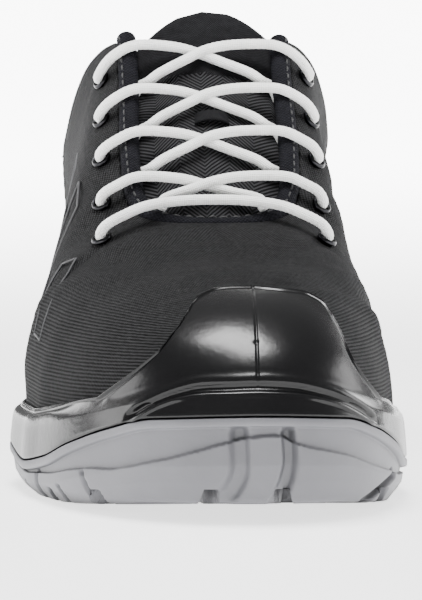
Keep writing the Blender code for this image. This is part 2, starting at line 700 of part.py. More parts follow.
def eyelet_cutters(collection):
    """Round cutters for the holes that the eyelets' barrels pass through."""
    made = []
    for name, (centre, axis) in all_seats():
        body = bmesh.new()
        radius = EYELET_BARREL / 2 + EYELET_GAP
        bmesh.ops.create_cone(
            body, cap_ends=True, segments=EYELET_SIDES, radius1=radius, radius2=radius,
            depth=5 * UPPER_WALL, matrix=facing(centre, axis),
        )
        mesh = bpy.data.meshes.new(f"hole_{name}")
        body.to_mesh(mesh)
        body.free()
        cutter = add_object(f"hole_{name}", mesh, collection)
        cutter.hide_render = True
        cutter.display_type = "WIRE"
        made.append(cutter)
    return made


def make_eyelets(collection, finish):
    """Turned rings: a flange over the upper and a barrel through its wall."""
    bore = EYELET_BORE / 2
    barrel = EYELET_BARREL / 2
    flange = EYELET_FLANGE / 2
    under = WALL_GAP
    profile = (
        (bore, under + EYELET_LIP),
        (flange, under + 0.8 * EYELET_LIP),
        (flange, under),
        (barrel, under),
        (barrel, -UPPER_WALL),
        (bore, -UPPER_WALL),
    )
    for name, (centre, axis) in all_seats():
        body = bmesh.new()
        ring = [body.verts.new((radius, 0, height)) for radius, height in profile]
        for k in range(len(ring)):
            body.edges.new((ring[k], ring[(k + 1) % len(ring)]))
        bmesh.ops.spin(
            body, geom=body.verts[:] + body.edges[:], cent=(0, 0, 0), axis=(0, 0, 1),
            angle=2 * math.pi, steps=EYELET_SIDES, use_merge=True,
        )
        bmesh.ops.remove_doubles(body, verts=body.verts, dist=0.00001)
        bmesh.ops.recalc_face_normals(body, faces=body.faces)
        mesh = bpy.data.meshes.new(f"eyelet_{name}")
        body.to_mesh(mesh)
        body.free()
        smooth(mesh)
        eyelet = add_object(f"eyelet_{name}", mesh, collection, finish)
        eyelet.matrix_world = facing(centre, axis)


def tube_mesh(name, points, diameter, widths=None):
    """Closed tube along points, made from a curve with a round bevel.

    The widths are shares of the diameter, one for each point.
    """
    curve = bpy.data.curves.new(name, "CURVE")
    curve.dimensions = "3D"
    curve.bevel_depth = diameter / 2
    curve.bevel_resolution = BEVEL_RESOLUTION
    curve.use_fill_caps = True
    spline = curve.splines.new("POLY")
    spline.points.add(len(points) - 1)
    for target, point, width in zip(spline.points, points, widths or [1.0] * len(points)):
        target.co = (*point, 1)
        target.radius = width
    guide = bpy.data.objects.new(name, curve)
    bpy.context.scene.collection.objects.link(guide)
    graph = bpy.context.evaluated_depsgraph_get()
    mesh = bpy.data.meshes.new_from_object(guide.evaluated_get(graph))
    bpy.data.objects.remove(guide)
    bpy.data.curves.remove(curve)
    body = bmesh.new()
    body.from_mesh(mesh)
    bmesh.ops.remove_doubles(body, verts=body.verts, dist=0.00001)
    bmesh.ops.recalc_face_normals(body, faces=body.faces)
    body.to_mesh(mesh)
    body.free()
    smooth(mesh)
    return mesh


def binding_path():
    """Middle of the padded roll that lines the throat's edge, and its width there.

    The roll is narrow where it goes round the throat's lower end.
    """
    angles = throat_angles(-1) + throat_angles(1)[-2::-1]
    edge = [rib_top(angle) for angle in angles]
    path = []
    widths = []
    for k, (angle, point) in enumerate(zip(angles, edge)):
        before = edge[max(k - 1, 0)]
        after = edge[min(k + 1, len(edge) - 1)]
        along = (after - before) / np.linalg.norm(after - before)
        normal = rib_normal(angle, 0.98)
        inward = np.cross(normal, along)
        inward /= np.linalg.norm(inward)
        width = 1 - (1 - BINDING_NARROW) * ease(0.635, 0.695, place_of(angle)[0])
        reach = width * BINDING_DIAMETER / 2 + WALL_GAP
        path.append(point + inward * reach - normal * UPPER_WALL / 2)
        widths.append(width)
    return path, widths


def tongue_point(across, along):
    """Point of the tongue's upper face, its top edge arched to a blunt apex."""
    start = TONGUE[0][0]
    end = TONGUE[-1][0]
    arch = 0.12 * max(abs(across - 0.1) - 0.16, 0.0) ** 1.5
    reach = along * (1 - arch * ease(0.5, 1.0, along))
    place = start + (end - start) * reach
    height, half, lean = read_along(TONGUE, place)
    offset = across * half
    drop = TONGUE_CROWN * (offset / (TONGUE_WIDTH / 2)) ** 2
    shift = rib_top(turn_of(THROAT_BASE))[0]
    return np.array((shift + lean + offset, LENGTH * (0.5 - place) - 0.25 * drop, height - drop))


def read_along(table, place):
    """A table's columns read against place itself, for pieces without rounded ends."""
    rows = table if table[0][0] < table[-1][0] else table[::-1]
    places = [row[0] for row in rows]
    last = len(rows) - 1
    k = min(max(sum(1 for knot in places if knot <= place) - 1, 0), last - 1)
    span = places[k + 1] - places[k]
    t = (place - places[k]) / span
    values = []
    for column in range(1, len(rows[0])):
        low = rows[k][column]
        high = rows[k + 1][column]
        before = rows[max(k - 1, 0)]
        after = rows[min(k + 2, last)]
        rise_low = (high - before[column]) / (places[k + 1] - before[0]) * span
        rise_high = (after[column] - low) / (after[0] - places[k]) * span
        values.append(
            (1 + 2 * t) * (1 - t) ** 2 * low + t * (1 - t) ** 2 * rise_low
            + t * t * (3 - 2 * t) * high - t * t * (1 - t) * rise_high
        )
    return values


def make_tongue(collection, finish):
    """Padded tongue: a crowned sheet thickened downwards."""
    body = bmesh.new()
    grid = []
    for row in range(TONGUE_ROWS + 1):
        line = []
        for column in range(TONGUE_COLUMNS + 1):
            point = tongue_point(2 * column / TONGUE_COLUMNS - 1, row / TONGUE_ROWS)
            line.append(body.verts.new(Vector(point)))
        grid.append(line)
    for row in range(TONGUE_ROWS):
        for column in range(TONGUE_COLUMNS):
            body.faces.new((
                grid[row][column], grid[row][column + 1],
                grid[row + 1][column + 1], grid[row + 1][column],
            ))
    for face in body.faces:
        face.normal_update()
        if face.normal.z < 0:
            face.normal_flip()
    mesh = bpy.data.meshes.new("tongue")
    body.to_mesh(mesh)
    body.free()
    smooth(mesh)
    tongue = add_object("tongue", mesh, collection, finish)
    pad = tongue.modifiers.new("pad", "SOLIDIFY")
    pad.thickness = TONGUE_THICKNESS
    pad.offset = -1
    pad.use_even_offset = True
    return tongue


def insole_rings():
    """Rings of the insole, its side a small gap inside the upper's wall."""
    inner = -(UPPER_WALL + WALL_GAP)
    rings = []
    for share, lift in ((0.0, 0.0), (0.55, 1.0), (1.0, 1.0)):
        ring = []
        for around in columns():
            footbed = read(LEVELS, place_of(around)[0])[3] + SEAT_GAP
            top = share_at(around, footbed + INSOLE_THICKNESS)
            point = upper_point(around, top * min(share * 1.8, 1.0), inner)
            if share == 1.0:
                point[:2] -= outward(around) * 0.5 * INSOLE_THICKNESS
            point[2] = footbed + INSOLE_THICKNESS * min(share * 1.5, 1.0) * lift
            ring.append(point)
        rings.append(ring)
    return rings


def lace_frame(level):
    """Middle of an eyelet pair, the throat's upward and outward directions, and half its span."""
    left = eyelet_seats(-1)
    right = eyelet_seats(1)
    middles = [(a[0] + b[0]) / 2 for a, b in zip(left, right)]
    up = middles[0] - middles[-1]
    up /= np.linalg.norm(up)
    half = (right[level][0][0] - left[level][0][0]) / 2
    across = np.array((1.0, 0.0, 0.0))
    out = np.cross(across, up)
    return middles[level], up, out, half


def strand_rows(level):
    """A crossing's rows, its start kept clear of the binding beside it and below it."""
    middle, up, _, half = lace_frame(level)
    binding, _ = binding_path()
    lowest = (binding[len(binding) // 2] - middle) @ up + START_ROOM
    start, first = STRAND[0][:2]
    shift = max(lowest - first, 0.0)
    height = first + shift
    beside = min(binding[:len(binding) // 2], key=lambda point: abs((point - middle) @ up - height))
    room = middle[0] - beside[0] - (BINDING_DIAMETER + LACE_DIAMETER) / 2 - WALL_GAP
    return [
        (max(share, -room / half), along + shift * (1 - ease(start, 0.1, share)), lift, over)
        for share, along, lift, over in STRAND
    ]


def lace_points(rows, level, mirror, sink):
    """A strand's points in space from its rows, mirrored, and sunk at the crossing."""
    middle, up, out, half = lace_frame(level)
    binding, _ = binding_path()
    beside = min(binding[:len(binding) // 2], key=lambda point: abs((point - middle) @ up))
    crest = (beside - middle) @ out
    points = []
    for share, along, lift, over in rows:
        low = sink * math.exp(-(share / 0.3) ** 2)
        point = middle + up * along + out * (lift + over * crest - low)
        point[0] += mirror * share * half
        points.append(point)
    return points


def make_laces(collection, finish):
    """The bar over the lowest eyelets and a crossing for each pair above it."""
    rows = [(-row[0], *row[1:]) for row in BAR[:0:-1]] + list(BAR)
    bar = tube_mesh("lace_bar", lace_points(rows, EYELET_COUNT - 1, 1, 0), LACE_DIAMETER)
    add_object("lace_bar", bar, collection, finish)
    for level in range(EYELET_COUNT - 1):
        name = f"lace_crossing_{level + 1}"
        rows = strand_rows(level)
        over = tube_mesh(name, lace_points(rows, level, 1, 0), LACE_DIAMETER)
        under = tube_mesh(name, lace_points(rows, level, -1, UNDERPASS), LACE_DIAMETER)
        first = add_object(name, over, collection, finish)
        second = add_object(f"{name}_under", under, collection)
        join = first.modifiers.new("join", "BOOLEAN")
        join.object = second
        join.operation = "UNION"
        graph = bpy.context.evaluated_depsgraph_get()
        mesh = bpy.data.meshes.new_from_object(first.evaluated_get(graph))
        first.modifiers.clear()
        first.data = mesh
        bpy.data.objects.remove(second)


def groove_cutters(collection):
    """Straight cutters for the grooves between the tread's main lugs."""
    made = []
    for index, (place, offset, length, width, degrees) in enumerate(GROOVES):
        centre = read(OUTLINE, place, crossing=(2,))[0] - MIDDLE
        ground = read(LEVELS, place)[0]
        body = bmesh.new()
        bmesh.ops.create_cube(body, size=1.0)
        placed = (
            Matrix.Translation((centre + offset, LENGTH * (0.5 - place), ground))
            @ Matrix.Rotation(math.radians(degrees), 4, "Z")
            @ Matrix.Diagonal((length, width, 2 * GROOVE_DEPTH, 1.0))
        )
        body.transform(placed)
        mesh = bpy.data.meshes.new(f"groove_{index + 1}")
        body.to_mesh(mesh)
        body.free()
        cutter = add_object(f"groove_{index + 1}", mesh, collection)
        cutter.hide_render = True
        cutter.display_type = "WIRE"
        made.append(cutter)
    return made


def make_sole(collection, cutters, grey, black):
    outsole = loft("outsole", outsole_rings(), collection, grey)
    for cutter in groove_cutters(cutters):
        groove = outsole.modifiers.new(cutter.name, "BOOLEAN")
        groove.object = cutter
        groove.operation = "DIFFERENCE"
        groove.solver = "EXACT"
    loft("midsole", midsole_rings(), collection, black)


def main():
    for old in list(bpy.data.objects):
        bpy.data.objects.remove(old)
    parts = bpy.data.collections.new(COLLECTION)
    cutters = bpy.data.collections.new("cutters")
    bpy.context.scene.collection.children.link(parts)
    bpy.context.scene.collection.children.link(cutters)
    grey = material("grey_outsole_rubber", (0.42, 0.42, 0.44), 0.55)
    black = material("black_midsole_polyurethane", (0.012, 0.012, 0.013), 0.35)
    textile = material("charcoal_woven_textile", (0.030, 0.030, 0.031), 0.85)
    lining = material("dark_padded_lining", (0.024, 0.024, 0.030), 0.8)
    herringbone = material("herringbone_tongue_textile", (0.034, 0.034, 0.035), 0.85)
    foam = material("insole_foam", (0.05, 0.05, 0.055), 0.9)
    steel = material("blackened_eyelet_steel", (0.05, 0.05, 0.05), 0.35, 1.0)
    cord = material("white_lace_cord", (0.80, 0.80, 0.79), 0.8)
    make_sole(parts, cutters, grey, black)
    make_upper(parts, cutters, textile)
    path, widths = binding_path()
    roll = tube_mesh("throat_binding", path, BINDING_DIAMETER, widths)
    add_object("throat_binding", roll, parts, lining)
    make_tongue(parts, herringbone)
    loft("insole", insole_rings(), parts, foam)
    make_eyelets(parts, steel)
    make_laces(parts, cord)


main()
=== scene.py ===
import math

import bmesh
import bpy
import numpy as np
from mathutils import Matrix, Vector


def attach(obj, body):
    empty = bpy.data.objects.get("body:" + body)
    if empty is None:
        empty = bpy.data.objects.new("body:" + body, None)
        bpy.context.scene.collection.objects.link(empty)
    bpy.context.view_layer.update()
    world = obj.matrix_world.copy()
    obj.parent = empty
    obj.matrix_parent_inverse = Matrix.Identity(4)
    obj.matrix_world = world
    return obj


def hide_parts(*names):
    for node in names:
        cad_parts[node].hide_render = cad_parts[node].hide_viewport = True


bl_info = {
    "name": "Safety Sneaker",
    "version": (1, 0, 0),
    "blender": (4, 5, 0),
    "location": "View3D > Sidebar > Sneaker",
    "description": "Dresses the packed solids of a safety sneaker as the finished shoe",
    "category": "Object",
}

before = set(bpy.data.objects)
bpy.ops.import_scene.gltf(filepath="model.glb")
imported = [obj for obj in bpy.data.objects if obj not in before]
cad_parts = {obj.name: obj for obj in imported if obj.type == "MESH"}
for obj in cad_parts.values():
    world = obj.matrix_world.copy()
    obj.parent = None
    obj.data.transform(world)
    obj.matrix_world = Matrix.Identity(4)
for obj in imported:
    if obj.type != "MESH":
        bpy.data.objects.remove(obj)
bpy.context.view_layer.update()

# Sizes in metres, the same as in the solids
LENGTH = 0.302
BALL_WIDTH = 0.110
HEEL_WIDTH = 0.076
TOE_HEIGHT = 0.0590
VAMP_HEIGHT = 0.0745
INSTEP_HEIGHT = 0.1215
ANKLE_HEIGHT = 0.087
HEEL_HEIGHT = 0.098
COLLAR_WIDTH = 0.080
COLLAR_DEPTH = 0.0151
THROAT_WIDTH = 0.051
UPPER_WALL = 0.0022
TOE_SPRING = 0.006
ARCH_RISE = 0.0045
HEEL_BEVEL = 0.0025
OUTSOLE_HEIGHT = 0.0098
BUMPER_HEIGHT = 0.0300
RAND_HEIGHT = 0.0222
HEEL_RAND_HEIGHT = 0.0365
FOOTBED_HEIGHT = 0.0136
HEEL_FOOTBED_HEIGHT = 0.024
OUTSOLE_WALL = 0.0022
OUTSOLE_LIP = 0.0009
OUTSOLE_TAPER = 0.0044
LIP_BAND = 0.0026
RAND_INSET = 0.0016
LATERAL_INSET = 0.0045
MEDIAL_INSET = 0.0038
TOE_INSET = 0.0048
GUARD_THICKNESS = 0.0028
EDGE_THICKNESS = 0.0008
EDGE_HEIGHT = 0.0016
INSOLE_THICKNESS = 0.0040
TONGUE_THICKNESS = 0.0045
TONGUE_WIDTH = 0.050
TONGUE_HEIGHT = 0.131
TONGUE_CROWN = 0.0075
BINDING_DIAMETER = 0.0058
BINDING_NARROW = 0.6
EYELET_BORE = 0.0037
EYELET_BARREL = 0.0050
EYELET_FLANGE = 0.0061
EYELET_LIP = 0.0007
EYELET_COUNT = 5
EYELET_PITCH = 0.0168
EYELET_ROW_TOP = 0.0596
EYELET_ROW_BOTTOM = 0.0640
FIRST_EYELET = 0.1373
LACE_DIAMETER = 0.0028
GROOVE_DEPTH = 0.0042
SEAT_GAP = 0.0003
WALL_GAP = 0.0006
THROAT_BASE = 0.70
STAY_BASE = 0.44

# Sizes and counts that only the dressed pieces have
OUTSOLE_COLUMNS = 880
MIDSOLE_COLUMNS = 760
UPPER_COLUMNS = 560
INSOLE_COLUMNS = 240
THROAT_STEPS = 12
LIP_ROWS = 9
LUG_PITCH = 0.0105
LUG_SPLIT = 0.018
LUG_DEPTH = 0.0018
PANEL_RISE = 0.0011
CHANNEL_DEPTH = 0.0013
MOULD_LINE_DEPTH = 0.00036
BEAD_RISE = 0.00042
BEAD_HOLLOW = 0.00022
BAND_RADIUS = 0.00036
SEAM_RADIUS = 0.0002
STITCH_LENGTH = 0.0022
STITCH_GAP = 0.0012
STITCH_RADIUS = 0.00028
LINING_GAP = 0.0002
COLLAR_PADDING = 0.0052
PATCH_RISE = 0.0004
KEEPER_RISE = 0.0016
KEEPER_THICKNESS = 0.0007
KEEPER_WIDTH = 0.040
KEEPER_PLACE = 0.575
EYELET_CUT = 0.0021
INSOLE_DIP = 0.0012
LACE_STEP = 0.00045
BRAID_PITCH = 0.0030
BRAID_DEPTH = 0.00007

# The shader's input for how strongly it mirrors
SHINE = "Specular IOR Level"

# Camera: sensor in millimetres, focal length and picture height in pixels, turn and height
# over the floor in degrees, distance in metres
SENSOR_WIDTH = 36
LENS_PIXELS = 6821
PICTURE_HEIGHT = 600
CAMERA_DEGREES = (-2.57, 5.67)
CAMERA_DISTANCE = 1.942

HALF_BALL = BALL_WIDTH / 2
HALF_HEEL = HEEL_WIDTH / 2
HALF_THROAT = THROAT_WIDTH / 2
HALF_COLLAR = COLLAR_WIDTH / 2

# Sole outline: place, centre line across, half width
OUTLINE = [
    (place, centre * HALF_BALL, half * (HALF_HEEL if place < 0.5 else HALF_BALL))
    for place, centre, half in (
        (0.00, 0.000, 0.00),
        (0.05, -0.005, 0.74),
        (0.10, -0.015, 0.91),
        (0.17, -0.025, 0.99),
        (0.25, -0.055, 1.00),
        (0.35, -0.110, 0.96),
        (0.45, -0.150, 0.98),
        (0.52, -0.150, 0.72),
        (0.60, -0.125, 0.83),
        (0.69, -0.076, 0.985),
        (0.76, -0.022, 0.988),
        (0.81, 0.004, 0.940),
        (0.86, 0.030, 0.872),
        (0.91, 0.060, 0.755),
        (0.95, 0.088, 0.605),
        (0.98, 0.115, 0.400),
        (1.00, 0.140, 0.00),
    )
]

# Sole levels: place, ground, top of the outsole's side, top of the rand, footbed
LEVELS = [
    (
        place,
        ground * (HEEL_BEVEL if place < 0.2 else ARCH_RISE if place < 0.7 else TOE_SPRING),
        side * (OUTSOLE_HEIGHT if place < 0.8 else BUMPER_HEIGHT),
        rand * (HEEL_RAND_HEIGHT if place < 0.5 else RAND_HEIGHT),
        footbed * (HEEL_FOOTBED_HEIGHT if place < 0.5 else FOOTBED_HEIGHT),
    )
    for place, ground, side, rand, footbed in (
        (0.00, 1.0, 2.15, 1.01, 1.0),
        (0.035, 0.0, 1.95, 1.0, 1.0),
        (0.12, 0.0, 1.75, 0.97, 0.98),
        (0.28, 0.0, 1.60, 0.91, 0.92),
        (0.36, 0.8, 1.55, 0.85, 0.85),
        (0.46, 1.0, 1.50, 0.77, 0.75),
        (0.55, 0.4, 1.48, 1.13, 1.15),
        (0.60, 0.0, 1.42, 1.05, 1.06),
        (0.68, 0.0, 1.25, 1.0, 1.0),
        (0.75, 0.0, 1.0, 1.02, 1.0),
        (0.82, 0.05, 0.43, 1.16, 1.03),
        (0.88, 0.32, 0.63, 1.32, 1.10),
        (0.93, 0.62, 0.81, 1.45, 1.18),
        (0.97, 0.88, 0.95, 1.60, 1.25),
        (1.00, 1.0, 1.0, 1.68, 1.28),
    )
]

# Upper's open edge, by the place of each rib on the sole: place of its top end, how far the
# centre line there lies across, half width of the opening, height
OPEN_EDGE = [
    (
        place, top, across * HALF_BALL,
        half * (HALF_COLLAR if place < STAY_BASE else HALF_THROAT),
        height * (
            HEEL_HEIGHT if place < 0.2 else ANKLE_HEIGHT if place < 0.3
            else INSTEP_HEIGHT if place < 0.63 else VAMP_HEIGHT
        ),
    )
    for place, top, across, half, height in (
        (0.00, 1.0 * COLLAR_DEPTH / LENGTH, 0.00, 0.00, 1.0),
        (0.03, 1.25 * COLLAR_DEPTH / LENGTH, 0.00, 0.43, 0.995),
        (0.08, 1.90 * COLLAR_DEPTH / LENGTH, 0.00, 0.69, 0.975),
        (0.15, 0.155, -0.01, 0.87, 0.925),
        (0.22, 0.215, -0.01, 0.965, 1.0),
        (0.29, 0.275, 0.00, 1.0, 1.02),
        (0.345, 0.335, 0.00, 0.955, 0.825),
        (0.385, 0.375, 0.00, 0.85, 0.93),
        (0.415, 0.405, 0.00, 0.715, 0.985),
        (STAY_BASE, 0.425, 0.00, 1.00, 1.0),
        (0.47, 0.455, 0.00, 1.00, 0.955),
        (0.52, 0.505, 0.00, 1.01, 0.868),
        (0.57, 0.556, 0.00, 1.03, 0.782),
        (0.615, 0.606, 0.00, 1.02, 0.700),
        (0.645, 0.640, 0.00, 0.93, 1.045),
        (0.670, 0.662, 0.00, 0.72, 1.01),
        (0.688, 0.670, 0.00, 0.37, 1.0),
        (THROAT_BASE, 0.672, 0.00, 0.00, 1.0),
    )
]

# Ridge of the vamp: place of the rib on the sole, place of its top end, across, height
RIDGE = [
    (place, top, across * HALF_BALL, height) for place, top, across, height in (
        (THROAT_BASE, 0.672, 0.00, 1.0 * VAMP_HEIGHT),
        (0.75, 0.712, 0.02, 0.945 * VAMP_HEIGHT),
        (0.80, 0.749, 0.06, 0.895 * VAMP_HEIGHT),
        (0.85, 0.785, 0.09, 1.095 * TOE_HEIGHT),
        (0.90, 0.815, 0.12, 1.045 * TOE_HEIGHT),
        (0.95, 0.837, 0.14, 1.010 * TOE_HEIGHT),
        (1.00, 0.845, 0.15, 1.0 * TOE_HEIGHT),
    )
]

# Ribs of the upper: place, exponent on the lateral and on the medial side, degrees of the arc,
# how far the rib swells on the lateral and on the medial side
RIBS = [
    (place, outer, inner, arc, lateral * HALF_BALL, medial * HALF_BALL)
    for place, outer, inner, arc, lateral, medial in (
        (0.00, 2.0, 2.0, 42, 0.060, 0.060),
        (0.12, 2.0, 2.0, 40, 0.050, 0.050),
        (0.25, 2.0, 2.0, 36, 0.025, 0.025),
        (0.36, 2.2, 2.2, 48, 0.025, 0.080),
        (0.44, 2.4, 2.4, 60, 0.030, 0.160),
        (0.55, 2.6, 2.7, 64, 0.040, 0.160),
        (0.645, 2.6, 3.1, 70, 0.035, 0.075),
        (THROAT_BASE, 2.6, 3.1, 90, 0.025, 0.015),
        (0.80, 2.5, 2.7, 90, 0.010, 0.000),
        (0.90, 2.6, 2.6, 86, 0.000, 0.000),
        (1.00, 2.9, 2.9, 72, 0.000, 0.000),
    )
]

# Edge of the toe guard: place on the rand below, and for each side the place of the rib
# that the edge has reached there and the share of that rib below the edge
GUARD_EDGE = (
    (0.800, 0.800, 0.085, 0.800, 0.085),
    (0.840, 0.843, 0.098, 0.842, 0.100),
    (0.870, 0.882, 0.113, 0.878, 0.115),
    (0.890, 0.908, 0.138, 0.905, 0.145),
    (0.910, 0.930, 0.179, 0.925, 0.190),
    (0.928, 0.947, 0.240, 0.937, 0.260),
    (0.942, 0.957, 0.320, 0.941, 0.360),
    (0.954, 0.963, 0.440, 0.937, 0.460),
    (0.964, 0.964, 0.560, 0.926, 0.570),
    (0.975, 0.957, 0.680, 0.911, 0.670),
    (0.984, 0.943, 0.780, 0.912, 0.735),
    (0.991, 0.940, 0.860, 0.924, 0.800),
    (0.996, 0.958, 0.915, 0.952, 0.880),
    (1.000, 1.000, 0.965, 1.000, 0.965),
)
GUARD_SWEEP = 3

# Tongue: place along the shoe, its top's height at the centre, half width, lean to medial
TONGUE = [
    (place, height, half * TONGUE_WIDTH / 2, lean * TONGUE_WIDTH / 2) for place, height, half, lean in (
        (0.403, 1.000 * TONGUE_HEIGHT, 0.83, 0.0),
        (0.455, 0.955 * INSTEP_HEIGHT, 0.88, 0.02),
        (0.505, 0.868 * INSTEP_HEIGHT, 0.95, 0.03),
        (0.556, 0.780 * INSTEP_HEIGHT, 1.00, 0.03),
        (0.606, 0.680 * INSTEP_HEIGHT, 0.95, 0.02),
        (0.645, 0.975 * VAMP_HEIGHT, 0.84, 0.01),
        (0.672, 0.925 * VAMP_HEIGHT, 0.72, 0.0),
        (0.700, 0.895 * VAMP_HEIGHT, 0.60, 0.0),
    )
]

# Grooves across the tread: place, distance from the outline's centre line to the groove's
# middle, length, width, degrees turned about Z
GROOVES = [
    (place, across * HALF_BALL, length * (HALF_HEEL if place < 0.5 else HALF_BALL), width, degrees)
    for place, across, length, width, degrees in (
        (0.10, 0.0, 2.3, 0.0050, 0),
        (0.19, 0.0, 2.3, 0.0050, 0),
        (0.61, 0.0, 2.3, 0.0050, 0),
        (0.68, 0.0, 2.3, 0.0050, 0),
        (0.75, 0.0, 2.3, 0.0030, 0),
        (0.82, 0.0, 2.3, 0.0030, 0),
        (0.89, 0.0, 2.3, 0.0055, 4),
        (0.95, -0.213, 0.50, 0.0045, 103),
        (0.95, 0.202, 0.50, 0.0045, 81),
    )
]

# A crossing's strand, from the throat's lower edge to the eyelet on the far side: share of
# the eyelet row's distance from the centre, distance up the throat from that eyelet, height
# over the line through the eyelets, and the share of the binding's height added to it
STRAND = (
    (-0.56, -0.0079, 0.0000, 1.0),
    (-0.43, -0.0048, 0.0012, 1.0),
    (-0.18, -0.0008, 0.0030, 1.0),
    (0.02, 0.0026, 0.0040, 1.0),
    (0.26, 0.0044, 0.0044, 1.0),
    (0.56, 0.0040, 0.0050, 1.0),
    (0.72, 0.0028, 0.0052, 1.0),
    (0.86, 0.0010, 0.0040, 1.0),
    (0.97, -0.0004, 0.0038, 0.5),
)

# How far the lower strand sinks where two cross, and a strand's room over the binding's end
UNDERPASS = 0.0018
START_ROOM = 0.0085

# Half of the bar over the lowest eyelets, from the middle to one eyelet, in the same columns
BAR = (
    (0.00, 0.0112, 0.0062, 0.0),
    (0.30, 0.0104, 0.0064, 0.0),
    (0.60, 0.0072, 0.0070, 0.0),
    (0.82, 0.0030, 0.0066, 0.0),
    (0.96, 0.0006, 0.0052, 0.0),
)

# Channels in the outsole's side. Each line's points: distance round the outline from the
# toe's tip, lateral side negative, and share of the side's height. Then width and depth.
SIDE_LINES = (
    (((-0.0055, 0.80), (-0.0052, 0.50), (-0.0056, 0.32), (-0.0085, 0.13), (-0.0130, -0.02)), 0.0048, 0.0022),
    (((0.0088, 0.80), (0.0094, 0.52), (0.0088, 0.30), (0.0072, 0.12), (0.0053, -0.02)), 0.0038, 0.0025),
    (((0.0630, 0.50), (0.0525, 0.22), (0.0420, -0.02)), 0.0030, 0.0026),
    (((-0.0610, 0.50), (-0.0598, 0.20), (-0.0575, 0.00)), 0.0018, 0.0018),
    (((-0.0770, 0.36), (-0.0745, -0.02)), 0.0016, 0.0020),
    (((-0.0930, 0.66), (-0.0935, 0.30), (-0.0930, 0.05)), 0.0020, 0.0020),
)

# Upper edge of the side's raised panels: distance round from the toe's tip and share of the
# side's height
PANEL_TOPS = (
    (-0.093, 0.66), (-0.070, 0.58), (-0.056, 0.52), (-0.049, 0.47), (-0.029, 0.51),
    (-0.018, 0.61), (-0.0092, 0.70), (0.000, 0.77), (0.0072, 0.77), (0.011, 0.70),
    (0.022, 0.61), (0.044, 0.51), (0.062, 0.53), (0.090, 0.62),
)

# Channel pressed into the toe guard's lower face: distance of the outline across, and the
# height of the channel's middle there
GUARD_CHANNEL = (
    (-0.0265, 0.0278), (-0.0190, 0.0334), (-0.0105, 0.0367), (0.0025, 0.0380), (0.0135, 0.0382),
    (0.0270, 0.0365), (0.0365, 0.0330), (0.0435, 0.0276), (0.0450, 0.0262),
)

# Outlined bands printed on the lateral quarter, each a loop of place and share of the rib
BANDS = (
    ((0.700, 0.26), (0.728, 0.26), (0.690, 0.60), (0.662, 0.60)),
    ((0.618, 0.24), (0.654, 0.24), (0.600, 0.72), (0.564, 0.72)),
    ((0.530, 0.22), (0.560, 0.22), (0.512, 0.62), (0.482, 0.62)),
    ((0.250, 0.26), (0.292, 0.26), (0.250, 0.60), (0.208, 0.60)),
)

# Soft troughs and ridges of the upper: side, place, share, how long and how wide, degrees from
# level, and depth, a ridge negative
CREASES = (
    (-1, 0.760, 0.72, 0.022, 0.0040, 20, 0.0009),
    (-1, 0.735, 0.86, 0.018, 0.0045, -10, 0.0008),
    (1, 0.748, 0.80, 0.024, 0.0040, -24, 0.0009),
    (1, 0.735, 0.50, 0.030, 0.0034, -32, -0.0007),
    (1, 0.790, 0.46, 0.024, 0.0030, -30, -0.0009),
    (1, 0.762, 0.48, 0.026, 0.0030, -31, 0.0008),
    (-1, 0.700, 0.55, 0.026, 0.0045, 32, 0.0009),
    (-1, 0.730, 0.50, 0.024, 0.0035, 34, -0.0007),
    (-1, 0.560, 0.60, 0.030, 0.0060, 55, 0.0010),
    (1, 0.560, 0.58, 0.030, 0.0060, -55, 0.0010),
    (-1, 0.300, 0.60, 0.024, 0.0070, 65, 0.0010),
    (1, 0.300, 0.60, 0.024, 0.0070, -65, 0.0010),
    (-1, 0.200, 0.55, 0.022, 0.0060, 80, 0.0008),
    (1, 0.200, 0.55, 0.022, 0.0060, -80, 0.0008),
)


def turn_of(place):
    """Angle round the sole for a place along it, even near the rounded ends."""
    return np.arccos(1 - 2 * np.clip(place, 0.0, 1.0))


def place_of(around):
    """Place along the shoe, and the side, of angles round it from the heel."""
    around = np.mod(around, 2 * np.pi)
    return (1 - np.cos(around)) / 2, np.where(around <= np.pi, -1, 1)


def around_of(side, place):
    """Angle round the shoe of a place on one side."""
    return np.where(np.asarray(side) < 0, turn_of(place), 2 * np.pi - turn_of(place))


def hermite(knots, values, slopes, at):
    """Smooth curve through knots with given slopes, read at any points."""
    k = np.clip(np.searchsorted(knots, at, side="right") - 1, 0, len(knots) - 2)
    span = knots[k + 1] - knots[k]
    t = np.clip((at - knots[k]) / span, 0.0, 1.0)
    return (
        (1 + 2 * t) * (1 - t) ** 2 * values[k]
        + t * (1 - t) ** 2 * span * slopes[k]
        + t * t * (3 - 2 * t) * values[k + 1]
        - t * t * (1 - t) * span * slopes[k + 1]
    )


def read(table, place, crossing=()):
    """A table's columns at any places, level at both ends apart from those in crossing."""
    rows = np.array(table)
    knots = turn_of(rows[:, 0])
    at = turn_of(place)
    columns = []
    for column in range(1, rows.shape[1]):
        values = rows[:, column]
        rise = np.diff(values) / np.diff(knots)
        slopes = np.zeros(len(values))
        meet = rise[:-1] * rise[1:]
        both = np.where(meet > 0, rise[:-1] + rise[1:], 1.0)
        slopes[1:-1] = np.where(meet > 0, 2 * meet / both, 0.0)
        if column in crossing:
            slopes[0], slopes[-1] = rise[0], rise[-1]
        columns.append(hermite(knots, values, slopes, at))
    return columns


def read_along(table, place):
    """A table's columns read against place itself, for pieces without rounded ends."""
    rows = np.array(table)
    knots = rows[:, 0]
    columns = []
    for column in range(1, rows.shape[1]):
        values = rows[:, column]
        slopes = np.gradient(values, knots)
        columns.append(hermite(knots, values, slopes, np.asarray(place)))
    return columns


def ease(low, high, value):
    """Smooth step from 0 at low to 1 at high."""
    t = np.clip((value - low) / (high - low), 0.0, 1.0)
    return t * t * (3 - 2 * t)


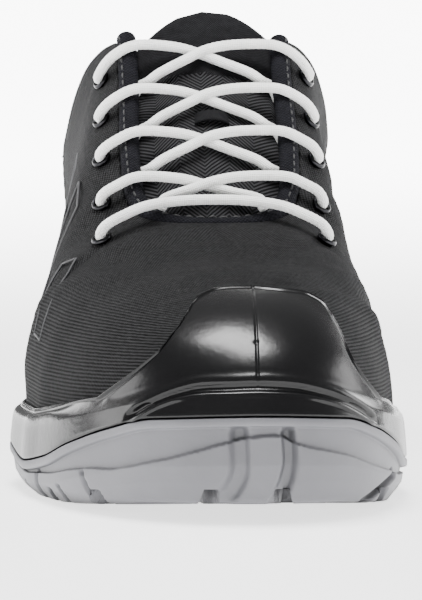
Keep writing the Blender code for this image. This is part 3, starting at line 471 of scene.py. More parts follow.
def middle_of_outline():
    """How far the outline's widest points lie off the middle."""
    centre, half = read(OUTLINE, np.linspace(0, 1, 101), crossing=(2,))
    return (np.min(centre - half) + np.max(centre + half)) / 2


MIDDLE = middle_of_outline()


def outline(around):
    """Points of the sole's outline in plan."""
    place, side = place_of(around)
    centre, half = read(OUTLINE, place, crossing=(2,))
    return np.stack((centre + side * half - MIDDLE, LENGTH * (0.5 - place)), axis=-1)


def unit(vectors):
    """Vectors made one long."""
    return vectors / np.maximum(np.linalg.norm(vectors, axis=-1, keepdims=True), 1e-12)


def outward(around):
    """Unit normals of the outline in plan, away from the shoe."""
    run = outline(around + 0.01) - outline(around - 0.01)
    return unit(np.stack((run[..., 1], -run[..., 0]), axis=-1))


def sole_point(around, inset, height):
    """Points of the sole's side, inset from the outline."""
    flat = outline(around) - outward(around) * np.asarray(inset)[..., None]
    return np.concatenate((flat, np.broadcast_to(height, flat.shape[:-1])[..., None]), axis=-1)


def feather(around):
    """Lower ends of the ribs, on the footbed inside the rand."""
    place, side = place_of(around)
    side_inset = np.where(side < 0, LATERAL_INSET, MEDIAL_INSET)
    share = ease(0.04, 0.25, place) * (1 - ease(0.77, 0.85, place))
    inset = TOE_INSET + (side_inset - TOE_INSET) * share
    return sole_point(around, inset, read(LEVELS, place)[3] + SEAT_GAP)


def rib_top(around):
    """Upper ends of the ribs: on the throat or collar, or on the ridge of the vamp."""
    place, side = place_of(around)
    edge = read(OPEN_EDGE, place, crossing=(3,))
    ridge_top, ridge_centre, ridge_height = read(RIDGE, place)
    ridge = (ridge_top, ridge_centre, 0.0, ridge_height)
    opened = place < THROAT_BASE - 1e-9
    top, centre, half, height = (np.where(opened, *pair) for pair in zip(edge, ridge))
    return np.stack((centre + side * half - MIDDLE, LENGTH * (0.5 - top), height), axis=-1)


def rib_point(around, share):
    """Points of the upper's outer face at shares of the ribs."""
    around, share = np.broadcast_arrays(around, share)
    place, side = place_of(around)
    outer, inner, arc, lateral, medial = read(RIBS, place)
    low = feather(around)
    high = rib_top(around)
    end = np.radians(arc)
    angle = end * np.clip(share, 0.0, 1.0)
    power = 2 / np.where(side < 0, outer, inner)
    level = (np.sin(angle) / np.sin(end)) ** power
    run_end = 1 - np.maximum(np.cos(end), 0.0) ** power
    run = (1 - np.maximum(np.cos(angle), 0.0) ** power) / run_end
    rand = (read(LEVELS, place)[2] - low[..., 2]) / (high[..., 2] - low[..., 2])
    rise = np.clip((level - rand) / 0.22, 0.0, 1.0)
    fullness = (1 - np.abs(2 * level ** 1.5 - 1) ** 4) * rise * rise * (3 - 2 * rise)
    swell = np.where(side < 0, lateral, medial) * fullness
    flat = low[..., :2] + (high[..., :2] - low[..., :2]) * run[..., None]
    flat = flat + outward(around) * swell[..., None]
    height = low[..., 2] + (high[..., 2] - low[..., 2]) * level
    return np.concatenate((flat, height[..., None]), axis=-1)


def rib_normal(around, share):
    """Outward normals of the upper at shares of the ribs."""
    step = 0.02
    here = np.clip(share, step, 1 - step)
    along = rib_point(around + step, here) - rib_point(around - step, here)
    up = rib_point(around, here + step) - rib_point(around, here - step)
    return unit(np.cross(along, up))


def upper_point(around, share, lift):
    """Points at a distance outside the upper's outer face."""
    return rib_point(around, share) + rib_normal(around, share) * np.asarray(lift)[..., None]


def share_at(around, height):
    """Share of the rib that lies below a height."""
    place, side = place_of(around)
    outer, inner, arc, _, _ = read(RIBS, place)
    exponent = np.where(side < 0, outer, inner)
    low = feather(around)[..., 2]
    high = rib_top(around)[..., 2]
    level = np.clip((height - low) / (high - low), 0.0, 1.0)
    sine = level ** (exponent / 2) * np.sin(np.radians(arc))
    return np.degrees(np.arcsin(np.minimum(sine, 1.0))) / arc


def columns(count, crowding=0.4, corners=()):
    """Angles round the shoe, closer together at the toe, with columns snapped to corners."""
    even = np.linspace(0, 2 * np.pi, count + 1)
    angles = even + crowding * np.sin(even)
    for corner in corners:
        for target in (turn_of(corner), 2 * np.pi - turn_of(corner)):
            angles[np.argmin(np.abs(angles - target))] = target
    return angles


def toe_run(around):
    """Distance round the outline from the toe's tip, lateral side negative."""
    fine = np.linspace(0, 2 * np.pi, 4001)
    run = distances(outline(fine))
    return np.interp(around, fine, run - np.interp(np.pi, fine, run))


def around_at(distance):
    """Angle round the shoe at a distance round the outline from the toe's tip."""
    fine = np.linspace(0, 2 * np.pi, 4001)
    return np.interp(distance, toe_run(fine), fine)


def distances(path):
    """Distance along a path at each of its points."""
    return np.concatenate(([0.0], np.cumsum(np.linalg.norm(np.diff(path, axis=0), axis=-1))))


def read_path(at, run, path):
    """Points of a path at distances along it, from the distances of its own points."""
    return np.stack([np.interp(at, run, path[:, axis]) for axis in range(3)], axis=-1)


def spine(place, first, last):
    """Points of the sole's centre line in plan, kept between two places."""
    kept = np.clip(place, first, last)
    return np.stack((read(OUTLINE, kept, crossing=(2,))[0] - MIDDLE, LENGTH * (0.5 - kept)), axis=-1)


def level_under(points, column):
    """Ground, side's top, rand's top or footbed, as columns 0 to 3, at points in plan."""
    return read(LEVELS, 0.5 - points[..., 1] / LENGTH)[column]


def line_distance(points, line):
    """Distance of each point from a line of points, and how far along the line it is."""
    shape = points.shape[:-1]
    flat = points.reshape(-1, 3)
    best = np.full(len(flat), 9.0)
    along = np.zeros(len(flat))
    walked = 0.0
    for start, end in zip(line, line[1:]):
        run = end - start
        length = np.linalg.norm(run)
        t = np.clip((flat - start) @ run / length ** 2, 0.0, 1.0)
        gap = np.linalg.norm(flat - start - t[:, None] * run, axis=-1)
        along = np.where(gap < best, walked + t * length, along)
        best = np.minimum(best, gap)
        walked += length
    return best.reshape(shape), along.reshape(shape)


def smooth_run(points, step):
    """Evenly spaced points of a smooth curve through the given ones."""
    points = np.array(points)
    padded = np.vstack((2 * points[0] - points[1], points, 2 * points[-1] - points[-2]))
    run = []
    t = np.linspace(0, 1, 24, endpoint=False)[:, None]
    for k in range(1, len(padded) - 2):
        before, here, after, beyond = padded[k - 1:k + 3]
        run.append(0.5 * (
            2 * here + (after - before) * t
            + (2 * before - 5 * here + 4 * after - beyond) * t * t
            + (3 * here - before - 3 * after + beyond) * t ** 3
        ))
    run = np.vstack(run + [points[-1:]])
    length = distances(run)
    return read_path(np.linspace(0, length[-1], max(int(length[-1] / step), 2) + 1), length, run)


def settle(body, mesh):
    """Writes an edited body into a mesh and smooths its shading."""
    body.to_mesh(mesh)
    body.free()
    mesh.shade_smooth()
    return mesh


def bend(name, points, uv=None, merge=0.00001):
    """A grid bent over rows of points, its meeting edges merged."""
    rows, cols = points.shape[:2]
    body = bmesh.new()
    bmesh.ops.create_grid(body, x_segments=cols - 1, y_segments=rows - 1, size=0.5)
    mesh = settle(body, bpy.data.meshes.new(name))
    flat = np.empty(len(mesh.vertices) * 3)
    mesh.vertices.foreach_get("co", flat)
    col = np.rint((flat[0::3] + 0.5) * (cols - 1)).astype(int)
    row = np.rint((flat[1::3] + 0.5) * (rows - 1)).astype(int)
    mesh.vertices.foreach_set("co", points[row, col].ravel())
    if uv is not None:
        corner = np.empty(len(mesh.loops), dtype=np.int32)
        mesh.loops.foreach_get("vertex_index", corner)
        layer = mesh.uv_layers.new(name="cloth")
        layer.data.foreach_set("uv", uv[row[corner], col[corner]].ravel())
    body = bmesh.new()
    body.from_mesh(mesh)
    bmesh.ops.remove_doubles(body, verts=body.verts, dist=merge)
    bmesh.ops.recalc_face_normals(body, faces=body.faces)
    return settle(body, mesh)


def tube(name, path, radius, sides=12, relief=None):
    """Closed tube along a path. The radius may vary along it, the relief over its surface."""
    path = np.array(path)
    tangents = unit(np.gradient(path, axis=0))
    normal = unit(np.cross(tangents[0], (0.3, 0.5, 0.81)))
    frames = []
    for tangent in tangents:
        normal = unit(normal - tangent * (normal @ tangent))
        frames.append(normal)
    normals = np.array(frames)
    across = np.cross(tangents, normals)
    length = distances(path)
    turn = np.linspace(0, 2 * np.pi, sides + 1)
    radius = np.broadcast_to(radius, len(path))[:, None] * np.ones(sides + 1)
    if relief is not None:
        radius = radius + relief(turn[None, :], length[:, None])
    ring = np.cos(turn)[None, :, None] * normals[:, None] + np.sin(turn)[None, :, None] * across[:, None]
    points = path[:, None] + ring * radius[..., None]
    uv = np.stack(np.broadcast_arrays(turn[None, :] * np.mean(radius), length[:, None]), axis=-1)
    mesh = bend(name, points, uv)
    body = bmesh.new()
    body.from_mesh(mesh)
    edges = [edge for edge in body.edges if edge.is_boundary]
    bmesh.ops.holes_fill(body, edges=edges, sides=sides + 1)
    bmesh.ops.recalc_face_normals(body, faces=body.faces)
    return settle(body, mesh)


def add_piece(name, mesh, finishes, replaced=()):
    """Puts a finished mesh in the scene on the one body, in place of the solids it stands for."""
    mesh.name = name
    for finish in finishes:
        mesh.materials.append(finish)
    piece = bpy.data.objects.new(name, mesh)
    bpy.context.scene.collection.objects.link(piece)
    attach(piece, "root")
    if replaced:
        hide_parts(*replaced)
    return piece


def joined(name, meshes):
    """One mesh of several."""
    body = bmesh.new()
    for mesh in meshes:
        body.from_mesh(mesh)
        bpy.data.meshes.remove(mesh)
    return settle(body, bpy.data.meshes.new(name))


def linear(code):
    """Linear colour, with alpha, of an sRGB hex code."""
    parts = [int(code[k:k + 2], 16) / 255 for k in (1, 3, 5)]
    return (*[c / 12.92 if c <= 0.04045 else ((c + 0.055) / 1.055) ** 2.4 for c in parts], 1.0)


def add_node(tree, kind, inputs, **settings):
    """Adds a node with its settings. An input takes a value, a socket or a node's first output."""
    made = tree.nodes.new("ShaderNode" + kind)
    for key, value in settings.items():
        setattr(made, key, value)
    for key, value in inputs.items():
        if isinstance(value, bpy.types.Node):
            value = value.outputs[0]
        if isinstance(value, bpy.types.NodeSocket):
            tree.links.new(value, made.inputs[key])
        else:
            made.inputs[key].default_value = value
    return made


def new_material(name, values):
    """A material, its tree and its shader with the given values."""
    made = bpy.data.materials.new(name)
    made.use_nodes = True
    shader = made.node_tree.nodes["Principled BSDF"]
    for key, value in values.items():
        shader.inputs[key].default_value = value
    return made, made.node_tree, shader


def cloth_axes(tree):
    """The cloth's own coordinates in metres: round the piece and up it."""
    cloth = add_node(tree, "UVMap", {}, uv_map="cloth")
    return add_node(tree, "SeparateXYZ", {0: cloth}).outputs[:2]


def waves(tree, source, period):
    """Sine of a coordinate with a period in metres."""
    turns = add_node(tree, "Math", {0: source, 1: 2 * math.pi / period}, operation="MULTIPLY")
    return add_node(tree, "Math", {0: turns}, operation="SINE")


def crossed(tree, first, second, period):
    """Product of the waves of two coordinates, as threads that cross."""
    pair = {0: waves(tree, first, period), 1: waves(tree, second, period)}
    return add_node(tree, "Math", pair, operation="MULTIPLY")


def object_noise(tree, scale, detail=4.0):
    """Soft noise fixed to the piece, its scale per metre."""
    inputs = {"Scale": scale, "Detail": detail, "Roughness": 0.5}
    inputs["Vector"] = add_node(tree, "TexCoord", {}).outputs["Object"]
    return add_node(tree, "TexNoise", inputs)


def ramp(tree, source, low, high, first, last):
    """Blend of two colours as a value goes from low to high."""
    factor = add_node(tree, "MapRange", {"Value": source, "From Min": low, "From Max": high})
    blend = {"Factor": factor, 6: first, 7: last}
    return add_node(tree, "Mix", blend, data_type="RGBA").outputs[2]


def coat(tree, shader, colour, height=None, distance=0.0):
    """Links a colour, and a relief of a height with its depth in metres, to the shader."""
    tree.links.new(colour, shader.inputs["Base Color"])
    if height is not None:
        bump = add_node(tree, "Bump", {"Distance": distance, "Height": height})
        tree.links.new(bump.outputs[0], shader.inputs["Normal"])


def woven_upper():
    """Tight polyester weave: dull black, with fine ribs on the forefoot. Its threads are drawn
    at 1.1 mm, coarser than real ones, so that they show."""
    made, tree, shader = new_material("woven polyester upper", {"Roughness": 0.72, SHINE: 0.06})
    u, v = cloth_axes(tree)
    place = add_node(tree, "TexCoord", {}).outputs["Object"]
    height = add_node(tree, "SeparateXYZ", {0: place}).outputs[2]
    low = add_node(tree, "MapRange", {"Value": height, "From Min": 0.064, "From Max": 0.050})
    threads = add_node(tree, "Math", {0: waves(tree, u, 0.0008), 1: 0.35}, operation="MULTIPLY")
    ribbed = add_node(tree, "Math", {0: waves(tree, v, 0.00105), 1: threads}, operation="ADD")
    parts = {0: low, 2: crossed(tree, u, v, 0.0011), 3: ribbed}
    blend = add_node(tree, "Mix", parts, data_type="FLOAT")
    faded = add_node(tree, "Math", {0: blend, 1: 0.5}, operation="MULTIPLY")
    total = add_node(tree, "Math", {0: faded, 1: object_noise(tree, 900.0, 2.0)}, operation="ADD")
    coat(tree, shader, ramp(tree, total, 0.05, 1.0, linear("#030303"), linear("#2b2b2c")), blend, 0.00012)
    return made


def herringbone_cloth():
    """Herringbone tape of the tongue: slanted threads that turn back in columns 7.2 mm wide."""
    made, tree, shader = new_material("herringbone polyester", {"Roughness": 0.75, SHINE: 0.06})
    u, v = cloth_axes(tree)
    shifted = add_node(tree, "Math", {0: u, 1: 0.2 - 0.0036}, operation="ADD")
    fold = add_node(tree, "Math", {0: shifted, 1: 0.0072}, operation="PINGPONG")
    rising = add_node(tree, "Math", {0: v, 1: fold}, operation="ADD")
    falling = add_node(tree, "Math", {0: v, 1: fold}, operation="SUBTRACT")
    threads = add_node(tree, "Math", {0: waves(tree, falling, 0.0006), 1: 0.3}, operation="MULTIPLY")
    total = add_node(tree, "Math", {0: waves(tree, rising, 0.0015), 1: threads}, operation="ADD")
    coat(tree, shader, ramp(tree, total, -1.0, 1.1, linear("#040404"), linear("#3c3c3e")), total, 0.00014)
    return made


def plain_cloth(name, dark, light, pitch, roughness=0.8):
    """Plain weave with a thread pitch in metres: matt, with an even grain."""
    made, tree, shader = new_material(name, {"Roughness": roughness, SHINE: 0.06})
    weave = crossed(tree, *cloth_axes(tree), pitch)
    faded = add_node(tree, "Math", {0: weave, 1: 0.5}, operation="MULTIPLY")
    total = add_node(tree, "Math", {0: faded, 1: object_noise(tree, 500.0)}, operation="ADD")
    coat(tree, shader, ramp(tree, total, -0.1, 1.2, linear(dark), linear(light)), weave, 0.00010)
    return made


def moulded_polyurethane():
    """Injected polyurethane: near black, satin, with a fine orange peel from the mould."""
    made, tree, shader = new_material("moulded polyurethane", {"Roughness": 0.25, SHINE: 0.32})
    cloud = object_noise(tree, 22.0, 3.0)
    rough = add_node(tree, "MapRange", {"Value": cloud, "To Min": 0.19, "To Max": 0.29})
    tree.links.new(rough.outputs[0], shader.inputs["Roughness"])
    colour = ramp(tree, cloud, 0.3, 0.7, linear("#060607"), linear("#0c0c0d"))
    coat(tree, shader, colour, object_noise(tree, 420.0, 3.0), 0.00006)
    return made


def outsole_rubber():
    """Moulded grey rubber: matt, slightly cloudy, with faint grain, and painted shade that darkens its
    grooves and recesses.
    """
    made, tree, shader = new_material("moulded grey rubber", {"Roughness": 0.52})
    cloud = ramp(tree, object_noise(tree, 30.0, 5.0), 0.3, 0.75, linear("#5e5e62"), linear("#6c6c70"))
    # Painted shade: ambient occlusion darkens the rubber's colour in its grooves and recesses
    painted_hollow_shade = add_node(tree, "AmbientOcclusion", {"Distance": 0.006}, samples=8).outputs["AO"]
    colour = ramp(tree, painted_hollow_shade, 0.25, 0.80, linear("#18181b"), cloud)
    coat(tree, shader, colour, object_noise(tree, 700.0, 2.0), 0.00005)
    return made


def braided_cord():
    """Braided white polyester: crossing yarns, soft and bright."""
    made, tree, shader = new_material("braided polyester cord", {"Roughness": 0.85, "Sheen Weight": 0.3})
    u, v = cloth_axes(tree)
    rising = add_node(tree, "Math", {0: v, 1: u}, operation="ADD")
    falling = add_node(tree, "Math", {0: v, 1: u}, operation="SUBTRACT")
    yarns = crossed(tree, rising, falling, 0.0011)
    coat(tree, shader, ramp(tree, yarns, -1.0, 0.6, linear("#e2e2df"), linear("#fcfcfa")), yarns, 0.00008)
    return made


def clouded(name, values, scale, dark, light):
    """A plain material whose colour drifts between two, with a noise scale per metre."""
    made, tree, shader = new_material(name, values)
    coat(tree, shader, ramp(tree, object_noise(tree, scale), 0.3, 0.7, linear(dark), linear(light)))
    return made


# One material for each finish, made once by the operators that need it
FINISHES = {}


def finish(name):
    """A finish by its plain name."""
    if name not in FINISHES:
        makers = {
            "upper": woven_upper,
            "herringbone": herringbone_cloth,
            # Fine polyester weave: smoother than the tape beside it
            "patch": lambda: plain_cloth("fine woven patch", "#0a0a0b", "#242426", 0.0007),
            # Padded polyester mesh: its knit is open enough to see
            "lining": lambda: plain_cloth("padded mesh lining", "#08080a", "#1d1d22", 0.0012),
            # Needled polyester fleece: fully matt
            "insole": lambda: plain_cloth("needled insole fleece", "#141416", "#28282b", 0.0016, 0.9),
            "polyurethane": moulded_polyurethane,
            "rubber": outsole_rubber,
            "lace": braided_cord,
            # Blackened rolled steel: smooth, with bright edges where light catches
            "steel": lambda: clouded(
                "blackened steel", {"Roughness": 0.28, "Metallic": 1.0}, 300.0, "#1c1c1e", "#343436",
            ),
            # Raised rubber print: dark grey and dull
            "print": lambda: clouded("raised rubber print", {"Roughness": 0.6}, 200.0, "#262628", "#303032"),
            # Bonded nylon thread: a slight gloss on its twisted runs
            "thread": lambda: clouded(
                "bonded nylon thread", {"Roughness": 0.5}, 1500.0, "#080809", "#18181b",
            ),
        }
        FINISHES[name] = makers[name]()
    return FINISHES[name]


def stitches(name, path, normals, radius=STITCH_RADIUS):
    """A row of short stitches that dip into the cloth at both ends."""
    path = np.array(path)
    run = distances(path)
    meshes = []
    start = 0.0
    while start + STITCH_LENGTH < run[-1]:
        at = np.linspace(start, start + STITCH_LENGTH, 5)
        bow = np.sin(np.linspace(0, np.pi, 5)) * 1.6 * radius - 0.6 * radius
        points = read_path(at, run, path)
        up = unit(read_path(at, run, normals))
        meshes.append(tube(f"{name}_stitch", points + up * bow[:, None], radius, sides=6))
        start += STITCH_LENGTH + STITCH_GAP
    return joined(name, meshes)


def tread_mask(points):
    """How deep the tread's main grooves are at points, from 0 to 1."""
    mask = np.zeros(points.shape[:-1])
    for place, offset, length, width, degrees in GROOVES:
        centre = read(OUTLINE, place, crossing=(2,))[0] - MIDDLE + offset
        angle = math.radians(degrees)
        across = points[..., 0] - centre
        along = points[..., 1] - LENGTH * (0.5 - place)
        run = np.abs(across * math.cos(angle) + along * math.sin(angle))
        off = np.abs(along * math.cos(angle) - across * math.sin(angle))
        inside = 1 - ease(width / 2 - 0.0002, width / 2 + 0.0005, off)
        mask = np.maximum(mask, inside * (1 - ease(length / 2 - 0.0005, length / 2, run)))
    return mask


def fine_tread(points, edge):
    """Depth of the fine lugs between the main grooves, away from the outsole's edge."""
    x = points[..., 0]
    y = points[..., 1]
    rows = np.abs(np.mod(y + 0.35 * np.abs(x - 0.004), LUG_PITCH) / LUG_PITCH - 0.5) * 2
    bars = ease(0.62, 0.86, rows)
    split = 1 - ease(0.0007, 0.0014, np.abs(np.mod(x + 0.5, LUG_SPLIT) - LUG_SPLIT / 2))
    return np.maximum(bars, split) * edge


def outsole_mesh():
    """Grey outsole: lip, side panels with their channels, and the tread below."""
    around = columns(OUTSOLE_COLUMNS)
    place, _ = place_of(around)
    ground, side_top, _, _ = read(LEVELS, place)
    band = side_top - LIP_BAND
    profile = [
        (OUTSOLE_WALL, side_top - 0.0006),
        (OUTSOLE_WALL, side_top),
        (0.7 * OUTSOLE_LIP, side_top),
        (0.25 * OUTSOLE_LIP, side_top - 0.03 * LIP_BAND),
        (0.0, side_top - 0.15 * LIP_BAND),
        (0.0, side_top - 0.5 * LIP_BAND),
        (0.05 * OUTSOLE_LIP, band + 0.25 * LIP_BAND),
        (0.35 * OUTSOLE_LIP, band + 0.1 * LIP_BAND),
        (1.70 * OUTSOLE_LIP, band),
    ]
    tops = np.array(PANEL_TOPS)
    panel_top = read_along(PANEL_TOPS, np.clip(toe_run(around), tops[0, 0], tops[-1, 0]))[0]
    for share in np.linspace(0.99, 0.06, 46):
        inset = np.interp(share, (0.05, 0.28, 0.5, 1.0), (1.0, 0.62, 0.36, 0.20)) * OUTSOLE_TAPER
        height = ground + share * (band - ground)
        part = (height - ground) / (side_top - ground)
        inset = inset + PANEL_RISE * ease(panel_top - 0.004, panel_top + 0.012, part)
        profile.append((inset, height))
    profile += [
        (1.08 * OUTSOLE_TAPER, ground + 0.02 * (band - ground)),
        (1.22 * OUTSOLE_TAPER, ground + 0.003 * (band - ground)),
        (1.40 * OUTSOLE_TAPER, ground),
    ]
    points = np.array([sole_point(around, inset, height) for inset, height in profile])
    out = outward(around)
    for line, width, depth in SIDE_LINES:
        turns = around_at(np.array([row[0] for row in line]))
        shares = np.array([row[1] for row in line])
        line_ground, line_top = read(LEVELS, place_of(turns)[0])[:2]
        height = line_ground + shares * (line_top - line_ground)
        inset = np.interp(shares, (0.0, 0.28, 1.0), (1.1, 0.62, 0.15)) * OUTSOLE_TAPER
        path = smooth_run(sole_point(turns, inset, height), 0.001)
        gap, _ = line_distance(points[LIP_ROWS - 1:], path)
        cut = depth * (1 - ease(0.25 * width, 0.75 * width, gap))
        points[LIP_ROWS - 1:, :, :2] -= out[None] * cut[..., None]
    edge = points[-1]
    middle = np.column_stack((spine(place, 0.06, 0.93), np.zeros(len(place))))
    under = []
    for share in np.linspace(0, 1, 46)[1:]:
        ring = edge + (middle - edge) * share
        ring[:, 2] = level_under(ring, 0)
        inner = ease(0.0025, 0.0040, np.linalg.norm(ring - edge, axis=-1))
        ring[:, 2] += LUG_DEPTH * fine_tread(ring, inner)
        under.append(ring)
    points = np.concatenate((points, np.array(under)))
    lifted = level_under(points, 0) + GROOVE_DEPTH * tread_mask(points)
    low = points[..., 2] < lifted
    low[:LIP_ROWS] = False
    points[..., 2] = np.where(low, lifted, points[..., 2])
    return bend("outsole_dressed", points, merge=0.00002)


def guard_rows(around, shares):
    """Angle and rib share of the guard at shares of the way from the rand to its edge."""
    place, side = place_of(around)
    rand = read(LEVELS, place)[2]
    start = share_at(around, rand)
    lip = share_at(around, rand + EDGE_HEIGHT)
    row = read(GUARD_EDGE, np.maximum(place, GUARD_EDGE[0][0]))
    reached = np.where(side < 0, row[0], row[2])
    below = np.where(side < 0, row[1], row[3])
    weight = ease(0.80, 0.86, place)
    end = lip + (np.maximum(below, lip) - lip) * weight
    goal = place + (reached - place) * weight * ease(0.0, 0.25, below - lip)
    target = around_of(side, goal)
    share = shares[:, None]
    sweep = np.where(goal > place, share, share ** GUARD_SWEEP)
    return around + (target - around) * sweep, start + (end - start) * share


def guard_relief(around, points):
    """Depth of the guard's channel with its two ridges, its mould line and the nick on it."""
    across = outline(around)[:, 0]
    rows = np.array(GUARD_CHANNEL)
    goal = read_along(GUARD_CHANNEL, np.clip(across, rows[0, 0], rows[-1, 0]))[0]
    inside = (place_of(around)[0] > 0.86) * ease(rows[0, 0], rows[0, 0] + 0.003, across)
    inside = inside * (1 - ease(rows[-1, 0] - 0.003, rows[-1, 0], across))
    walked = np.cumsum(np.linalg.norm(np.diff(points, axis=0, prepend=points[:1]), axis=-1), axis=0)
    row = np.argmax(points[..., 2] > goal, axis=0)
    lower = np.maximum(row - 1, 0)
    column = np.arange(len(around))
    low, high = points[lower, column, 2], points[row, column, 2]
    part = np.clip((goal - low) / np.maximum(high - low, 1e-9), 0.0, 1.0)
    middle = walked[lower, column] + part * (walked[row, column] - walked[lower, column])
    off = walked - middle
    depth = CHANNEL_DEPTH * (1 - ease(0.0004, 0.0017, np.abs(off)))
    ridges = 0.00045 * np.exp(-((off + 0.0024) / 0.0006) ** 2)
    ridges += 0.00025 * np.exp(-((off - 0.0028) / 0.0010) ** 2)
    depth = (depth - ridges) * inside
    mould = upper_point(np.pi, np.linspace(0.06, 0.965, 60), WALL_GAP + GUARD_THICKNESS)
    gap, _ = line_distance(points, mould)
    depth += MOULD_LINE_DEPTH * (1 - ease(0.0001, 0.0005, gap))
    gap = np.linalg.norm(points - mould[28], axis=-1)
    return depth + 0.0003 * np.exp(-(gap / 0.0008) ** 2)


def midsole_mesh():
    """Black midsole: rand, toe guard with its channel and mould line, and their inner faces."""
    around = columns(MIDSOLE_COLUMNS, crowding=0.55)
    place, _ = place_of(around)
    side_top, rand = read(LEVELS, place)[1:3]
    toe = ease(0.86, 0.97, place)
    shoulder = RAND_INSET * (1 + 0.9 * toe)
    rise = rand - side_top
    # Share of the rand's height, share of the outsole's lip and share of the shoulder's inset
    keys = np.array((
        (0.00, 0.75, 0.0), (0.02, 0.35, 0.0), (0.06, 0.12, 0.0), (0.12, 0.15, 0.0),
        (0.40, 0.0, 0.25), (0.60, 0.0, 0.38), (0.72, 0.0, 0.47), (0.84, 0.0, 0.62),
        (0.93, 0.0, 0.80), (0.985, 0.0, 1.02), (1.0, 0.0, 1.25),
    ))
    gap = OUTSOLE_WALL + SEAT_GAP
    rings = [sole_point(around, gap, side_top + SEAT_GAP - drop) for drop in (0.0008, 0.0)]
    for level in np.concatenate((np.linspace(0, 0.12, 7)[:-1], np.linspace(0.12, 1.0, 24))):
        lip = np.interp(level, keys[:, 0], keys[:, 1]) * OUTSOLE_LIP
        inset = lip + np.interp(level, keys[:, 0], keys[:, 2]) * shoulder
        rings.append(sole_point(around, inset, side_top + SEAT_GAP + level * (rise - SEAT_GAP)))
    rand_rows = len(rings)
    shares = np.concatenate((np.linspace(0, 0.85, 84), np.linspace(0.85, 1.0, 22)[1:]))
    turns, parts = guard_rows(around, shares)
    full = EDGE_THICKNESS + (GUARD_THICKNESS - EDGE_THICKNESS) * ease(0.80, 0.92, place)
    flat = rib_point(turns, parts)
    walked = np.cumsum(np.linalg.norm(np.diff(flat, axis=0, prepend=flat[:1]), axis=-1), axis=0)
    from_edge = walked[-1] - walked
    bead = BEAD_RISE * np.exp(-((from_edge - 0.0011) / 0.0005) ** 2)
    bead -= BEAD_HOLLOW * np.exp(-((from_edge - 0.0026) / 0.0007) ** 2)
    lift = full * (0.45 + 0.55 * ease(-0.0006, 0.0012, from_edge)) + bead * full / GUARD_THICKNESS
    lift = np.where(from_edge < 0.00015, 0.3 * lift, lift)
    outer = upper_point(turns, parts, WALL_GAP + lift)
    points = np.concatenate((np.array(rings), outer))
    turns, parts = guard_rows(around, np.linspace(1.0, 0.0, 14))
    inner = upper_point(turns, parts, WALL_GAP / 2)
    foot = [upper_point(around, parts[-1] * 0.4, WALL_GAP / 2), rings[0]]
    first, last = rand_rows - 8, rand_rows + 12
    amount = ease(0.83, 0.90, place)[None, :, None]
    for _ in range(40):
        mean = (points[first - 1:last - 1] + points[first + 1:last + 1]) / 2
        points[first:last] += 0.5 * amount * (mean - points[first:last])
    depth = guard_relief(around, points)
    push = unit(np.cross(np.gradient(points, axis=1), np.gradient(points, axis=0)))
    points = np.concatenate((points - push * depth[..., None], inner, np.array(foot)))
    points[:, -1] = points[:, 0]
    return bend("midsole_dressed", points, merge=0.00002)


def crease_depth(points):
    """Depth of the listed creases at points of the upper."""
    depth = np.zeros(points.shape[:-1])
    for side, place, part, length, width, degrees, amount in CREASES:
        turn = around_of(side, place)
        centre = rib_point(turn, part)
        along = unit(rib_point(turn + 0.02, part) - rib_point(turn - 0.02, part))
        up = unit(rib_point(turn, part + 0.02) - rib_point(turn, part - 0.02))
        angle = math.radians(degrees)
        run = along * math.cos(angle) + up * math.sin(angle)
        rise = up * math.cos(angle) - along * math.sin(angle)
        offset = points - centre
        near = np.exp(-((offset @ run) / length) ** 2 - ((offset @ rise) / width) ** 2)
        near *= np.exp(-(np.linalg.norm(offset, axis=-1) / (2.5 * length)) ** 4)
        depth += amount * near
    return depth


def upper_mesh():
    """Woven upper: one skin with its creases and stay, ready for its wall."""
    around = columns(UPPER_COLUMNS, corners=(STAY_BASE, THROAT_BASE))
    shares = np.linspace(0, 1, 84)
    turn, share = np.meshgrid(around, shares)
    points = rib_point(turn, share)
    normals = rib_normal(turn, share)
    ridge = (place_of(turn)[0] >= THROAT_BASE - 1e-6) & (share > 0.999)
    depth = crease_depth(points) * (1 - ease(0.93, 1.0, share)) * ease(0.1, 0.2, share)
    weave = 0.00006 * np.sin(points[..., 2] * 2 * np.pi / 0.0033) * np.sin(turn * 60)
    points = points - normals * (depth + weave * (1 - ease(0.9, 1.0, share)))[..., None]
    points[ridge] = rib_point(turn, share)[ridge]
    points[:, -1] = points[:, 0]
    steps = np.linalg.norm(np.diff(points, axis=0, prepend=points[:1]), axis=-1)
    girth = np.broadcast_to(toe_run(around), turn.shape)
    uv = np.stack((girth, np.cumsum(steps, axis=0)), axis=-1)
    return bend("upper_dressed", points, uv, merge=0.00002)


class SNEAKER_PG_sizes(bpy.types.PropertyGroup):
    """Sizes and colours that a user would change."""

    lace_diameter: bpy.props.FloatProperty(
        name="Lace diameter", description="Thickness of the round lace", default=1.06 * LACE_DIAMETER,
        unit="LENGTH", subtype="DISTANCE", precision=4,
    )
    floor_colour: bpy.props.FloatVectorProperty(
        name="Floor colour", description="Colour of the floor and backdrop", size=3, subtype="COLOR",
        default=linear("#fafafa")[:3],
    )
    side_light: bpy.props.FloatProperty(
        name="Side light", description="Power of each side light", default=4.0, unit="POWER",
    )
    back_light: bpy.props.FloatProperty(
        name="Back light", description="Power of each light behind the shoe", default=4.5, unit="POWER",
    )
    top_light: bpy.props.FloatProperty(
        name="Top light", description="Power of the soft light overhead", default=19.0, unit="POWER",
    )


class SNEAKER_OT_outsole(bpy.types.Operator):
    """Makes the grey rubber outsole"""

    bl_idname = "sneaker.outsole"
    bl_label = "Outsole"

    def execute(self, context):
        add_piece("outsole_dressed", outsole_mesh(), [finish("rubber")], ["outsole"])
        return {"FINISHED"}


